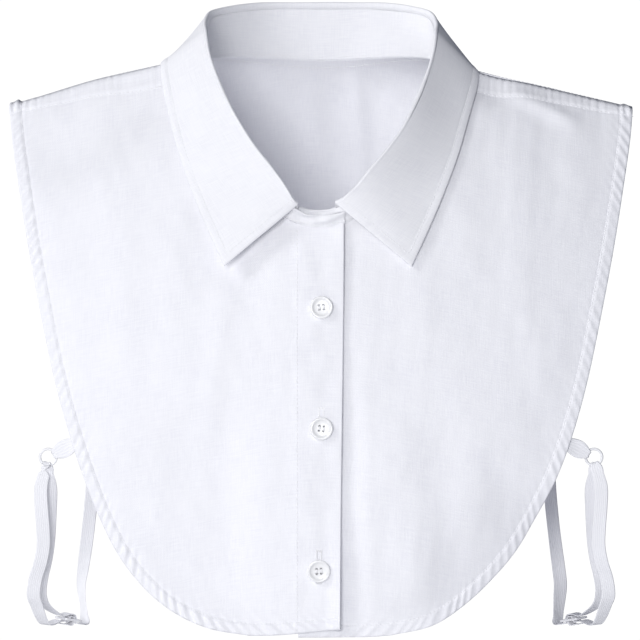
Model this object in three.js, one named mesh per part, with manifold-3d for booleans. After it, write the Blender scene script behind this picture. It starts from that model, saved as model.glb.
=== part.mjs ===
// Detachable shirt front (dickey) in its worn form: two lapped front panels, a back panel, a collar
// stand with a turned-down leaf, three buttons and an adjustable strap on each side.
// Millimetres, +Z up. +X is the viewer's right, and the front faces -Y.
// The origin is the middle of the neck opening, level with the back neck seam.

import * as THREE from 'three';
import Module from 'manifold-3d';
import { mergeVertices } from 'three/addons/utils/BufferGeometryUtils.js';

const wasm = await Module();
wasm.setup();

// Body form that the cloth hangs on
const NECK_HALF = 66;
const NECK_BACK = 60;
const NECK_DROP = 96;
const NECK_POINT_Z = 4.5;
const SHOULDER_HALF = 185;
const SHOULDER_SLOPE = 0.232;
const SHOULDER_SOFT = 30;
const BODY_DROP = 333;
const BACK_DROP = 300;
const TORSO_HALF = 230;
const TORSO_SQUARE = 2.6;
const FRONT = { toward: -1, depth: 88, fall: 100, round: 5 };
const BACK = { toward: 1, depth: 78, fall: 36, round: 100 };

// Cloth
const CLOTH_WALL = 1.0;
const HEM_WALL = 1.6;
const HEM_WIDTH = 5.5;
const HEM_STEP = 1.5;
const SEAM_WIDTH = 8;
const PLACKET_WIDTH = 28.8;
const PLACKET_RISE = 5;
const LAP = 13.3;
const GAP = 0.3;

// Collar
const STAND_HEIGHT = 34;
const STAND_WALL = 1.6;
const LEAF_WALL = 1.2;
const LEAF_ROLL = 2.2;
const LEAF_END = 9;
const LEAF_RISE = 4;
const LEAF_CLEAR = 1.4;
const LEAF_BULGE = 4;

// Buttons and buttonholes
const BUTTON_RADIUS = 6.7;
const BUTTON_THICK = 2.4;
const BUTTON_HOLE = 0.8;
const BUTTON_HOLE_PITCH = 2.6;
const SLIT_LENGTH = 15;
const SLIT_WIDTH = 1;

// Side straps
const TAPE_WIDTH = 8;
const TAPE_WALL = 0.8;
const TAB_SEWN = 8;
const TAB_REACH = 15.5;
const TAB_SLOPE = 0.29;
const RING_RADIUS = 4.8;
const RING_WIRE = 0.8;
const STRAP_DROP = 99;
const SLIDER_WIDTH = 12;
const SLIDER_LENGTH = 13;
const SLIDER_THICK = 1.4;
const SLIDER_BAR = 1.7;
const BACK_SEAT_RISE = 14;
const BACK_SEAT_LENGTH = 16;

const LAP_LIFT = STAND_WALL + GAP;
const TAPE_CLEAR = GAP + TAPE_WALL / 2;

// Side edge and round bottom of a front: across as a share of SHOULDER_HALF, down as a share of
// BODY_DROP below the neck point, at each share of the way along the inner edge, which follows the
// neck seam to NECK_SHARE and then the centre edge. bow bends the row down, and tuck draws the edge
// of the wearer's left front in and up, both as shares of BODY_DROP.
const NECK_SHARE = 0.35;
const FRONT_ROWS = [
  { along: 0.000, across: 1.000, down: 0.084, bow: 0.000, tuck: 0.000 },
  { along: 0.060, across: 0.988, down: 0.139, bow: 0.000, tuck: 0.000 },
  { along: 0.125, across: 0.962, down: 0.223, bow: 0.000, tuck: 0.000 },
  { along: 0.195, across: 0.932, down: 0.316, bow: 0.000, tuck: 0.000 },
  { along: 0.270, across: 0.896, down: 0.416, bow: 0.004, tuck: 0.000 },
  { along: 0.350, across: 0.842, down: 0.554, bow: 0.008, tuck: 0.000 },
  { along: 0.430, across: 0.792, down: 0.652, bow: 0.012, tuck: 0.000 },
  { along: 0.510, across: 0.749, down: 0.723, bow: 0.014, tuck: 0.002 },
  { along: 0.590, across: 0.699, down: 0.796, bow: 0.016, tuck: 0.006 },
  { along: 0.670, across: 0.637, down: 0.862, bow: 0.017, tuck: 0.009 },
  { along: 0.750, across: 0.559, down: 0.916, bow: 0.016, tuck: 0.011 },
  { along: 0.830, across: 0.468, down: 0.957, bow: 0.014, tuck: 0.009 },
  { along: 0.915, across: 0.352, down: 0.985, bow: 0.011, tuck: 0.004 },
  { along: 1.000, across: 0.225, down: 0.997, bow: 0.008, tuck: 0.001 },
];

// Side edge and round bottom of the back, a little narrower and shorter, and whole from side to
// side, at each share of the way down its centre line
const BACK_ROWS = [
  { along: 0.00, across: 1.000, down: 0.084 },
  { along: 0.10, across: 0.968, down: 0.150 },
  { along: 0.20, across: 0.935, down: 0.235 },
  { along: 0.30, across: 0.905, down: 0.330 },
  { along: 0.40, across: 0.868, down: 0.430 },
  { along: 0.52, across: 0.815, down: 0.550 },
  { along: 0.64, across: 0.745, down: 0.660 },
  { along: 0.76, across: 0.650, down: 0.755 },
  { along: 0.88, across: 0.520, down: 0.832 },
  { along: 1.00, across: 0.350, down: 0.887 },
];

// Soft folds of the fronts: a line from (x0, z0) to (x1, z1), as shares of SHOULDER_HALF and
// BODY_DROP, and the fold's half width and height as shares of BODY_DROP
const FOLDS = [
  { x0: 0.52, z0: -0.07, x1: 0.72, z1: -0.17, width: 0.040, height: 0.009 },
  { x0: -0.44, z0: -0.20, x1: -0.78, z1: -0.32, width: 0.060, height: -0.007 },
  { x0: -0.16, z0: -0.60, x1: -0.20, z1: -0.92, width: 0.050, height: 0.008 },
  { x0: 0.22, z0: -0.62, x1: 0.30, z1: -0.94, width: 0.055, height: 0.009 },
  { x0: 0.42, z0: -0.50, x1: 0.54, z1: -0.84, width: 0.060, height: 0.006 },
  { x0: -0.48, z0: -0.50, x1: -0.55, z1: -0.82, width: 0.060, height: 0.006 },
];

// Collar sections, in degrees round the neck from the centre back: 90 is the neck point and 180
// the centre front. fold_x, fold_y and fold_z lead from the neck seam to the fold, as shares of
// STAND_HEIGHT. The leaf's edge is edge_x out, a share of NECK_HALF, and edge_run down the body
// from the shoulder, a share of NECK_DROP, negative in front.
const COLLAR = [
  { around: 0, fold_x: 0.00, fold_y: -0.09, fold_z: 1.00, edge_x: 0.00, edge_run: 0.75 },
  { around: 35, fold_x: 0.01, fold_y: 0.05, fold_z: 0.93, edge_x: 0.75, edge_run: 0.60 },
  { around: 62, fold_x: 0.12, fold_y: -0.03, fold_z: 0.83, edge_x: 1.24, edge_run: 0.28 },
  { around: 78, fold_x: 0.08, fold_y: -0.13, fold_z: 0.67, edge_x: 1.39, edge_run: 0.10 },
  { around: 90, fold_x: 0.03, fold_y: -0.20, fold_z: 0.52, edge_x: 1.43, edge_run: 0.00 },
  { around: 97, fold_x: 0.00, fold_y: -0.26, fold_z: 0.46, edge_x: 1.42, edge_run: -0.13 },
  { around: 110, fold_x: -0.08, fold_y: -0.32, fold_z: 0.45, edge_x: 1.35, edge_run: -0.36 },
  { around: 125, fold_x: -0.13, fold_y: -0.37, fold_z: 0.42, edge_x: 1.26, edge_run: -0.59 },
  { around: 145, fold_x: -0.13, fold_y: -0.36, fold_z: 0.48, edge_x: 1.12, edge_run: -0.86 },
  { around: 163, fold_x: -0.03, fold_y: -0.26, fold_z: 0.47, edge_x: 0.96, edge_run: -1.13 },
  { around: 172, fold_x: 0.00, fold_y: -0.16, fold_z: 0.42, edge_x: 0.84, edge_run: -1.32 },
  { around: 180, fold_x: 0.00, fold_y: -0.13, fold_z: 0.40, edge_x: 0.84, edge_run: -1.32 },
];

// How far below the neck point each button lies, as a share of BODY_DROP
const BUTTON_ROWS = [0.430, 0.640, 0.884];

// A button's section from its back to its dished face: r as a share of BUTTON_RADIUS, z as a share
// of BUTTON_THICK
const BUTTON_SECTION = [
  { r: 0.00, z: 0.00 },
  { r: 0.82, z: 0.00 },
  { r: 0.97, z: 0.22 },
  { r: 1.00, z: 0.55 },
  { r: 0.95, z: 0.88 },
  { r: 0.86, z: 1.00 },
  { r: 0.76, z: 0.92 },
  { r: 0.66, z: 0.66 },
  { r: 0.00, z: 0.60 },
];

// Where the tab is sewn on, as a share of BODY_DROP below the neck point
const TAB_DOWN = 0.667;

// Route of the strap tape, in the order that it runs, seen from the ring as shares of STRAP_DROP:
// out to the side, back and down. turn is the heading of its width in degrees, and wide its width.
const FRONT_PLY = [
  { out: 0.034, back: 0.300, down: 1.044, turn: -33, wide: 1.00 },
  { out: 0.062, back: 0.230, down: 0.992, turn: -24, wide: 1.00 },
  { out: 0.084, back: 0.170, down: 0.910, turn: -12, wide: 1.00 },
  { out: 0.100, back: 0.129, down: 0.840, turn: -2, wide: 1.00 },
  { out: 0.085, back: 0.099, down: 0.736, turn: 4, wide: 1.00 },
  { out: 0.053, back: 0.069, down: 0.635, turn: 6, wide: 1.00 },
  { out: 0.034, back: 0.048, down: 0.530, turn: 6, wide: 1.00 },
  { out: 0.035, back: 0.024, down: 0.415, turn: 4, wide: 1.00 },
  { out: 0.042, back: 0.004, down: 0.300, turn: 0, wide: 1.00 },
  { out: 0.044, back: -0.010, down: 0.186, turn: -2, wide: 0.98 },
  { out: 0.026, back: -0.018, down: 0.100, turn: 0, wide: 0.85 },
];
const REAR_PLY = [
  { out: 0.004, back: 0.024, down: 0.105, turn: 4, wide: 0.85 },
  { out: -0.010, back: 0.059, down: 0.200, turn: 18, wide: 0.98 },
  { out: -0.006, back: 0.099, down: 0.347, turn: 32, wide: 1.00 },
  { out: 0.005, back: 0.155, down: 0.505, turn: 34, wide: 1.00 },
  { out: 0.026, back: 0.195, down: 0.630, turn: 24, wide: 1.00 },
  { out: 0.056, back: 0.228, down: 0.743, turn: 8, wide: 1.00 },
  { out: 0.070, back: 0.271, down: 0.835, turn: -8, wide: 1.00 },
  { out: 0.058, back: 0.321, down: 0.910, turn: -20, wide: 1.00 },
  { out: 0.022, back: 0.378, down: 0.962, turn: -30, wide: 1.00 },
];
const BACK_PLY = [
  { out: -0.166, back: 0.672, down: 1.092, turn: -50, wide: 1.00 },
  { out: -0.166, back: 0.728, down: 1.046, turn: -58, wide: 1.00 },
  { out: -0.156, back: 0.786, down: 0.965, turn: -62, wide: 1.00 },
  { out: -0.146, back: 0.857, down: 0.885, turn: -50, wide: 1.00 },
  { out: -0.152, back: 0.920, down: 0.805, turn: -30, wide: 1.00 },
  { out: -0.166, back: 0.998, down: 0.680, turn: -12, wide: 1.00 },
  { out: -0.182, back: 1.085, down: 0.525, turn: -4, wide: 1.00 },
  { out: -0.194, back: 1.190, down: 0.360, turn: 0, wide: 1.00 },
  { out: -0.206, back: 1.275, down: 0.150, turn: 4, wide: 1.00 },
];
const SLIDER_AT = { out: -0.085, back: 0.520, down: 1.046 };
const SLIDER_TO = { out: -0.740, back: 0.620, down: 0.200 };

// Passage of the tape through the slider: along it and above it, as shares of SLIDER_BAR
const SEWN_LOOP = [
  { along: -2.8, above: -1.9 },
  { along: 0.3, above: -1.9 },
  { along: 1.0, above: -1.2 },
  { along: 1.15, above: 0.3 },
  { along: 0.75, above: 0.95 },
  { along: 0.0, above: 1.08 },
  { along: -0.75, above: 0.95 },
  { along: -1.15, above: 0.3 },
  { along: -1.3, above: -0.55 },
  { along: -1.9, above: -1.0 },
  { along: -4.6, above: -1.02 },
];
const THROUGH_PLY = [
  { along: -4.6, above: 1.05 },
  { along: -2.9, above: 1.15 },
  { along: -1.4, above: 1.75 },
  { along: 0.0, above: 1.95 },
  { along: 1.25, above: 1.65 },
  { along: 1.85, above: 0.75 },
  { along: 2.05, above: -0.35 },
  { along: 2.6, above: -1.0 },
  { along: 4.6, above: -1.05 },
];

const COLOURS = {
  cotton: { color: 0xf4f4f8, roughness: 0.85, metalness: 0 },
  button: { color: 0xf2f2f4, roughness: 0.3, metalness: 0 },
  elastic: { color: 0xf0f0f4, roughness: 0.75, metalness: 0 },
  plastic: { color: 0xf6f6f8, roughness: 0.35, metalness: 0 },
};

// Value of a table's column between its rows, on a smooth curve through them
function read(rows, key, column, at) {
  const last = rows.length - 1;
  let i = 0;
  while (i < last - 1 && at > rows[i + 1][key]) i += 1;
  const a = rows[i];
  const b = rows[i + 1];
  const before = rows[Math.max(i - 1, 0)];
  const after = rows[Math.min(i + 2, last)];
  const span = b[key] - a[key];
  const t = THREE.MathUtils.clamp((at - a[key]) / span, 0, 1);
  const slopeA = (b[column] - before[column]) / (b[key] - before[key]) * span;
  const slopeB = (after[column] - a[column]) / (after[key] - a[key]) * span;
  const t2 = t * t;
  const t3 = t2 * t;
  return (2 * t3 - 3 * t2 + 1) * a[column] + (t3 - 2 * t2 + t) * slopeA
    + (3 * t2 - 2 * t3) * b[column] + (t3 - t2) * slopeB;
}

function smooth(from, to, at) {
  return THREE.MathUtils.smoothstep(at, from, to);
}

// Height of the shoulder ridge, which runs across from the neck to the shoulder tips
function ridge(x) {
  return NECK_POINT_Z
    + SHOULDER_SLOPE * (Math.hypot(NECK_HALF, SHOULDER_SOFT) - Math.hypot(x, SHOULDER_SOFT));
}

function depthAt(side, x) {
  return side.depth * (1 - (Math.abs(x) / TORSO_HALF) ** TORSO_SQUARE) ** (1 / TORSO_SQUARE);
}

// A place on the body is x and run: the length down from the ridge, over the shoulder's rounding
function runAtDrop(side, drop) {
  return Math.sqrt(drop * drop + 2 * drop * side.round);
}

function runAtZ(side, x, z) {
  return runAtDrop(side, Math.max(ridge(x) - z, 0));
}

function runAtY(side, x, y) {
  return -side.fall * Math.log(1 - Math.abs(y) / depthAt(side, x));
}

function seamRun(side) {
  return GAP * side.fall / side.depth;
}

function onBody(side, x, run) {
  const y = side.toward * depthAt(side, x) * (1 - Math.exp(-run / side.fall));
  return new THREE.Vector3(x, y, ridge(x) + side.round - Math.hypot(run, side.round));
}

function bodyNormal(side, x, run) {
  const step = 0.25;
  const at = Math.max(run, step);
  const across = onBody(side, x + step, at).sub(onBody(side, x - step, at));
  const down = onBody(side, x, at + step).sub(onBody(side, x, at - step));
  return down.cross(across).multiplyScalar(-side.toward).normalize();
}

// Height of the soft folds at a place on the fronts
function foldHeight(x, z) {
  let height = 0;
  for (const fold of FOLDS) {
    const ax = fold.x0 * SHOULDER_HALF;
    const az = fold.z0 * BODY_DROP;
    const dx = fold.x1 * SHOULDER_HALF - ax;
    const dz = fold.z1 * BODY_DROP - az;
    const along = ((x - ax) * dx + (z - az) * dz) / (dx * dx + dz * dz);
    const off = ((x - ax) * dz - (z - az) * dx) / Math.hypot(dx, dz);
    const ends = smooth(-0.25, 0.25, along) * (1 - smooth(0.75, 1.25, along));
    height += fold.height * BODY_DROP * ends * Math.exp(-((off / (fold.width * BODY_DROP)) ** 2));
  }
  return height;
}

// The wearer's right front laps over the left, and comes down to the body beyond its placket
function lapLift(x) {
  return LAP_LIFT * smooth(-PLACKET_WIDTH * 1.6, -PLACKET_WIDTH * 0.55, x);
}

// Neck seam, a half oval behind and a deeper one in front. Past 180 degrees it runs on over the
// centre front, where the fronts lap.
const LAP_END = 180 + THREE.MathUtils.radToDeg(Math.asin(LAP / NECK_HALF));

// Degrees round half the neck where sections are taken: close together past the neck point, where
// the seam turns down, and with one where the leaf ends
const LEAF_LAST = 180 - THREE.MathUtils.radToDeg(Math.asin(LEAF_END / NECK_HALF));
const BEHIND = [0, 1, 2, 3, 4, 5, 6, 7].map((k) => 90 * k / 7);
const AHEAD = [1, 2, 3, 4, 5, 6, 7, 8, 9, 10, 11, 12].map((k) => {
  return 90 + (LEAF_LAST - 90) * (k / 12) ** 1.6;
});
const LAPPED = [1, 2].map((k) => THREE.MathUtils.lerp(LEAF_LAST, LAP_END, k / 2));

function bothSides(list) {
  return [...list.slice(1).reverse().map((around) => -around), ...list];
}

function neckSeam(around) {
  const angle = THREE.MathUtils.degToRad(around);
  const x = NECK_HALF * Math.sin(angle);
  if (around <= 90) {
    return { side: BACK, x, run: Math.max(runAtY(BACK, x, NECK_BACK * Math.cos(angle)), seamRun(BACK)) };
  }
  const z = NECK_POINT_Z - NECK_DROP * (-Math.cos(angle)) ** 1.08;
  return { side: FRONT, x, run: Math.max(runAtZ(FRONT, x, z), seamRun(FRONT)) };
}

// Collar section: the seam point, the way up to the fold and the way out from the neck
function collarSection(signed) {
  const around = Math.abs(signed);
  const sign = Math.sign(signed) || 1;
  const seam = neckSeam(around);
  const over = sign < 0 && around > 90;
  const lift = over ? lapLift(-seam.x) : 0;
  const base = onBody(seam.side, seam.x, seam.run)
    .addScaledVector(bodyNormal(seam.side, seam.x, seam.run), lift);
  const fold = new THREE.Vector3(
    read(COLLAR, 'around', 'fold_x', around),
    read(COLLAR, 'around', 'fold_y', around),
    read(COLLAR, 'around', 'fold_z', around),
  ).multiplyScalar(STAND_HEIGHT);
  const height = fold.length();
  const up = fold.normalize();
  const ahead = neckSeam(around + 1);
  const behind = neckSeam(Math.abs(around - 1));
  const back = onBody(behind.side, around < 1 ? -behind.x : behind.x, behind.run);
  const way = onBody(ahead.side, ahead.x, ahead.run).sub(back);
  const out = up.clone().cross(way).normalize();
  base.addScaledVector(out, lift * 0.4);
  for (const v of [base, up, out]) v.x *= sign;
  return { around, sign, lift, base, up, out, height };
}

function signedVolume(position, index) {
  const a = new THREE.Vector3();
  const b = new THREE.Vector3();
  const c = new THREE.Vector3();
  let volume = 0;
  for (let i = 0; i < index.length; i += 3) {
    a.fromBufferAttribute(position, index[i]);
    b.fromBufferAttribute(position, index[i + 1]);
    c.fromBufferAttribute(position, index[i + 2]);
    volume += a.dot(b.cross(c));
  }
  return volume;
}

// Closed solid round a grid of middle points, with a wall at each and faces pointing out
function sheet(points, walls, normals = gridNormals(points)) {
  const rows = points.length;
  const columns = points[0].length;
  const positions = [];
  for (const half of [0.5, -0.5]) {
    for (let i = 0; i < rows; i += 1) {
      for (let j = 0; j < columns; j += 1) {
        const p = points[i][j].clone().addScaledVector(normals[i][j], half * walls[i][j]);
        positions.push(p.x, p.y, p.z);
      }
    }
  }
  const index = [];
  const under = rows * columns;
  const quad = (a, b, c, d) => index.push(a, b, c, a, c, d);
  const rim = (a, b) => quad(b, a, under + a, under + b);
  for (let i = 0; i < rows - 1; i += 1) {
    for (let j = 0; j < columns - 1; j += 1) {
      const a = i * columns + j;
      const b = a + columns;
      quad(a, b, b + 1, a + 1);
      quad(under + a, under + a + 1, under + b + 1, under + b);
    }
  }
  for (let j = 0; j < columns - 1; j += 1) {
    const end = (rows - 1) * columns + j;
    rim(j + 1, j);
    rim(end, end + 1);
  }
  for (let i = 0; i < rows - 1; i += 1) {
    const first = i * columns;
    const last = first + columns - 1;
    rim(first, first + columns);
    rim(last + columns, last);
  }
  const geometry = new THREE.BufferGeometry();
  geometry.setAttribute('position', new THREE.Float32BufferAttribute(positions, 3));
  if (signedVolume(geometry.getAttribute('position'), index) < 0) index.reverse();
  geometry.setIndex(index);
  return geometry;
}

function gridNormals(points) {
  const rows = points.length - 1;
  return points.map((row, i) => row.map((_, j) => {
    const down = points[Math.min(i + 1, rows)][j].clone().sub(points[Math.max(i - 1, 0)][j]);
    const right = row[Math.min(j + 1, row.length - 1)].clone().sub(row[Math.max(j - 1, 0)]);
    return down.cross(right).normalize();
  }));
}

// Stations from 0 to 1 along a length: a thick band at either end, a step down from it, and even
// stations between
function stations(count, length, startBand, endBand) {
  const list = [];
  if (startBand > 0) list.push({ at: 0, thick: true }, { at: startBand / length, thick: true });
  const from = startBand > 0 ? (startBand + HEM_STEP) / length : 0;
  const to = endBand > 0 ? 1 - (endBand + HEM_STEP) / length : 1;
  for (let k = 0; k <= count; k += 1) {
    list.push({ at: from + (to - from) * (k / count), thick: false });
  }
  if (endBand > 0) list.push({ at: 1 - endBand / length, thick: true }, { at: 1, thick: true });
  return list;
}

// Point, wall and normal of a row of a panel that runs across from its inner to its outer end
function panelRow(side, sign, inner, outer, bow, list, thickRow, liftAt) {
  return list.map(({ at, thick }) => {
    const x = sign * THREE.MathUtils.lerp(inner.x, outer.x, at);
    const run = THREE.MathUtils.lerp(inner.run, outer.run, at) + bow * 4 * at * (1 - at);
    const normal = bodyNormal(side, x, run);
    const point = onBody(side, x, run);
    point.addScaledVector(normal, liftAt(point, at));
    return { point, normal, wall: thick || thickRow ? HEM_WALL : CLOTH_WALL };
  });
}

function panelSheet(rows) {
  const pick = (key) => rows.map((row) => row.map((cell) => cell[key]));
  return sheet(pick('point'), pick('wall'), pick('normal'));
}

// One front. sign -1 is the wearer's right front, which laps over; 1 is the left, which lies under.
function frontPanel(sign) {
  const top = neckSeam(LAP_END);
  const topZ = onBody(FRONT, top.x, top.run).z;
  const endZ = NECK_POINT_Z - BODY_DROP + (sign < 0 ? PLACKET_RISE : 0);
  const list = [90, ...AHEAD, ...LAPPED].map((around) => {
    const inner = neckSeam(around);
    const at = NECK_SHARE * (around - 90) / (LAP_END - 90);
    return { at, inner, thick: inner.run < SEAM_WIDTH * 1.2 };
  });
  for (const { at, thick } of stations(11, topZ - endZ, 0, HEM_WIDTH).slice(1)) {
    const inner = { x: top.x, run: runAtZ(FRONT, top.x, topZ + (endZ - topZ) * at) };
    list.push({ at: NECK_SHARE + (1 - NECK_SHARE) * at, inner, thick });
  }
  const rows = list.map(({ at, inner, thick }) => {
    const tuck = sign > 0 ? read(FRONT_ROWS, 'along', 'tuck', at) * BODY_DROP : 0;
    const x = read(FRONT_ROWS, 'along', 'across', at) * SHOULDER_HALF - tuck;
    const z = NECK_POINT_Z - read(FRONT_ROWS, 'along', 'down', at) * BODY_DROP + tuck;
    const outer = { x, run: at === 0 ? seamRun(FRONT) : runAtZ(FRONT, x, z) };
    const length = outer.x - inner.x;
    const band = Math.max(PLACKET_WIDTH - LAP - inner.x, HEM_WIDTH);
    const bow = read(FRONT_ROWS, 'along', 'bow', at) * BODY_DROP;
    const liftAt = (point, u) => {
      const aside = smooth(PLACKET_WIDTH * 0.5, PLACKET_WIDTH, Math.abs(point.x));
      const calm = aside * Math.min(1, 6 * (1 - u), 6 * at);
      return calm * foldHeight(point.x, point.z) + (sign < 0 ? lapLift(point.x) : 0);
    };
    const across = stations(10, length, band, HEM_WIDTH);
    return panelRow(FRONT, sign, inner, outer, bow, across, thick, liftAt);
  });
  return panelSheet(rows);
}

// The back, whole from side to side. Its top row follows one shoulder seam, the neck seam and the
// other shoulder seam, and each column runs from there down to the round bottom.
function backPanel() {
  const half = BEHIND.slice(1).map((around) => neckSeam(around));
  for (const { at, thick } of stations(6, SHOULDER_HALF - NECK_HALF, 0, HEM_WIDTH)) {
    const x = THREE.MathUtils.lerp(NECK_HALF, SHOULDER_HALF, at);
    if (at > 0) half.push({ x, run: seamRun(BACK), thick });
  }
  const centre = neckSeam(0);
  const mirrored = half.map((start) => ({ ...start, x: -start.x })).reverse();
  const top = [...mirrored, centre, ...half];
  const bottomRun = runAtZ(BACK, 0, NECK_POINT_Z - BACK_DROP);
  const rows = stations(13, BACK_DROP, SEAM_WIDTH, HEM_WIDTH).map(({ at, thick }) => {
    const across = read(BACK_ROWS, 'along', 'across', at);
    const edgeX = across * SHOULDER_HALF;
    const edgeZ = NECK_POINT_Z - read(BACK_ROWS, 'along', 'down', at) * BODY_DROP;
    const edgeRun = at === 0 ? seamRun(BACK) : runAtZ(BACK, edgeX, edgeZ);
    const centreRun = THREE.MathUtils.lerp(centre.run, bottomRun, at);
    return top.map((start) => {
      const weight = (start.x / SHOULDER_HALF) ** 2;
      const x = start.x * across;
      const lead = start.run - THREE.MathUtils.lerp(centre.run, seamRun(BACK), weight);
      const run = THREE.MathUtils.lerp(centreRun, edgeRun, weight) + lead * (1 - at);
      const wall = thick || start.thick ? HEM_WALL : CLOTH_WALL;
      return { point: onBody(BACK, x, run), normal: bodyNormal(BACK, x, run), wall };
    });
  });
  return panelSheet(rows);
}

// Stand: a band round the neck seam from one lap to the other, up to its seam with the leaf
function collarStand() {
  const points = bothSides([...BEHIND, ...AHEAD, ...LAPPED]).map((signed) => {
    const { base, up, height } = collarSection(signed);
    const foot = HEM_WALL / 2 + GAP;
    const top = height - LEAF_RISE;
    return [0, 0.5, 1].map((t) => base.clone().addScaledVector(up, foot + (top - foot) * t));
  });
  return sheet(points, points.map((row) => row.map(() => STAND_WALL)));
}

// Leaf: from its seam on the stand up over the roll and down to an edge that lies on the fronts,
// the shoulders and the back
function collarLeaf() {
  const rollSteps = 4;
  const fallSteps = 5;
  const points = bothSides([...BEHIND, ...AHEAD]).map((signed) => {
    const { around, sign, lift, base, up, out, height } = collarSection(signed);
    const row = [base.clone().addScaledVector(up, height - LEAF_RISE + GAP)];
    const centre = base.clone().addScaledVector(up, height - LEAF_ROLL).addScaledVector(out, LEAF_ROLL);
    for (let s = 0; s <= rollSteps; s += 1) {
      const angle = Math.PI * s / rollSteps;
      row.push(centre.clone().addScaledVector(out, -LEAF_ROLL * Math.cos(angle))
        .addScaledVector(up, LEAF_ROLL * Math.sin(angle)));
    }
    const edgeX = read(COLLAR, 'around', 'edge_x', around) * NECK_HALF;
    const edgeRun = read(COLLAR, 'around', 'edge_run', around) * NECK_DROP;
    const side = edgeRun < 0 ? FRONT : BACK;
    const run = Math.abs(edgeRun);
    const clear = HEM_WALL / 2 + LEAF_WALL / 2 + lift + LEAF_CLEAR;
    const rest = bodyNormal(side, edgeX, run);
    const edge = onBody(side, edgeX, run).addScaledVector(rest, clear);
    edge.x *= sign;
    rest.x *= sign;
    const start = row[row.length - 1];
    const leave = start.clone().addScaledVector(up, -0.3 * start.distanceTo(edge));
    const arrive = edge.clone().lerp(start, 0.35).addScaledVector(rest, LEAF_BULGE);
    const fall = new THREE.CubicBezierCurve3(start, leave, arrive, edge);
    for (let s = 1; s <= fallSteps; s += 1) row.push(fall.getPoint(s / fallSteps));
    return row;
  });
  return sheet(points, points.map((row) => row.map(() => LEAF_WALL)));
}

// Where a button sits: the middle of the placket at its height, and the way out
function buttonSeat(down) {
  const z = NECK_POINT_Z - down * BODY_DROP;
  const run = runAtZ(FRONT, 0, z);
  const normal = bodyNormal(FRONT, 0, run);
  const point = onBody(FRONT, 0, run).addScaledVector(normal, LAP_LIFT + HEM_WALL / 2);
  return { point, normal };
}

function toSolid(geometry) {
  const bare = geometry.clone();
  bare.deleteAttribute('normal');
  bare.deleteAttribute('uv');
  const merged = mergeVertices(bare, 1e-4);
  const index = merged.getIndex().array;
  const triangles = [];
  for (let i = 0; i < index.length; i += 3) {
    const [a, b, c] = [index[i], index[i + 1], index[i + 2]];
    if (a !== b && b !== c && c !== a) triangles.push(a, b, c);
  }
  return new wasm.Manifold(new wasm.Mesh({
    numProp: 3,
    vertProperties: new Float32Array(merged.getAttribute('position').array),
    triVerts: new Uint32Array(triangles),
  }));
}

function toGeometry(solid) {
  const mesh = solid.getMesh();
  const geometry = new THREE.BufferGeometry();
  geometry.setAttribute('position', new THREE.Float32BufferAttribute(mesh.vertProperties, 3));
  geometry.setIndex(new THREE.Uint32BufferAttribute(mesh.triVerts, 1));
  return geometry;
}

function cutAll(geometry, cutters) {
  let solid = toSolid(geometry);
  for (const cutter of cutters) solid = solid.subtract(toSolid(cutter));
  return toGeometry(solid);
}

// Turns a geometry made round the Y axis so that its Y points along a direction, and places it
function seated(geometry, direction, at) {
  const turn = new THREE.Quaternion().setFromUnitVectors(new THREE.Vector3(0, 1, 0), direction);
  return geometry.applyQuaternion(turn).translate(at.x, at.y, at.z);
}

function button(down) {
  const section = BUTTON_SECTION.map(({ r, z }) => {
    return new THREE.Vector2(r * BUTTON_RADIUS, z * BUTTON_THICK);
  });
  const disc = new THREE.LatheGeometry(section, 20);
  const holes = [[-1, -1], [1, -1], [1, 1], [-1, 1]].map(([i, j]) => {
    const hole = new THREE.CylinderGeometry(BUTTON_HOLE, BUTTON_HOLE, BUTTON_THICK * 3, 8);
    return hole.translate(i * BUTTON_HOLE_PITCH / 2, 0, j * BUTTON_HOLE_PITCH / 2);
  });
  const { point, normal } = buttonSeat(down);
  return seated(cutAll(disc, holes), normal, point.addScaledVector(normal, GAP));
}

function buttonholes() {
  return BUTTON_ROWS.map((down) => {
    const { point, normal } = buttonSeat(down);
    const slit = new THREE.BoxGeometry(SLIT_WIDTH, HEM_WALL * 2, SLIT_LENGTH);
    return seated(slit, normal, point.addScaledVector(normal, -HEM_WALL / 2));
  });
}

// A ring's middle: out beyond the front's side edge, along the cloth, where the tab reaches it
function ringSeat(sign) {
  const at = tabPlace();
  const edge = onBody(FRONT, at.x, at.run);
  const inside = onBody(FRONT, at.x - 1, at.run);
  const out = edge.clone().sub(inside).normalize();
  const behind = bodyNormal(FRONT, at.x, at.run).multiplyScalar(-HEM_WALL / 2 - GAP - TAPE_WALL);
  const centre = edge.clone().add(behind).addScaledVector(out, TAB_REACH);
  centre.z -= TAB_REACH * TAB_SLOPE;
  centre.x *= sign;
  return centre;
}

// Where the tab crosses the front's side edge
function tabPlace() {
  let along = 0;
  while (read(FRONT_ROWS, 'along', 'down', along) < TAB_DOWN) along += 0.001;
  const x = read(FRONT_ROWS, 'along', 'across', along) * SHOULDER_HALF;
  return { x, run: runAtZ(FRONT, x, NECK_POINT_Z - TAB_DOWN * BODY_DROP) };
}

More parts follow.
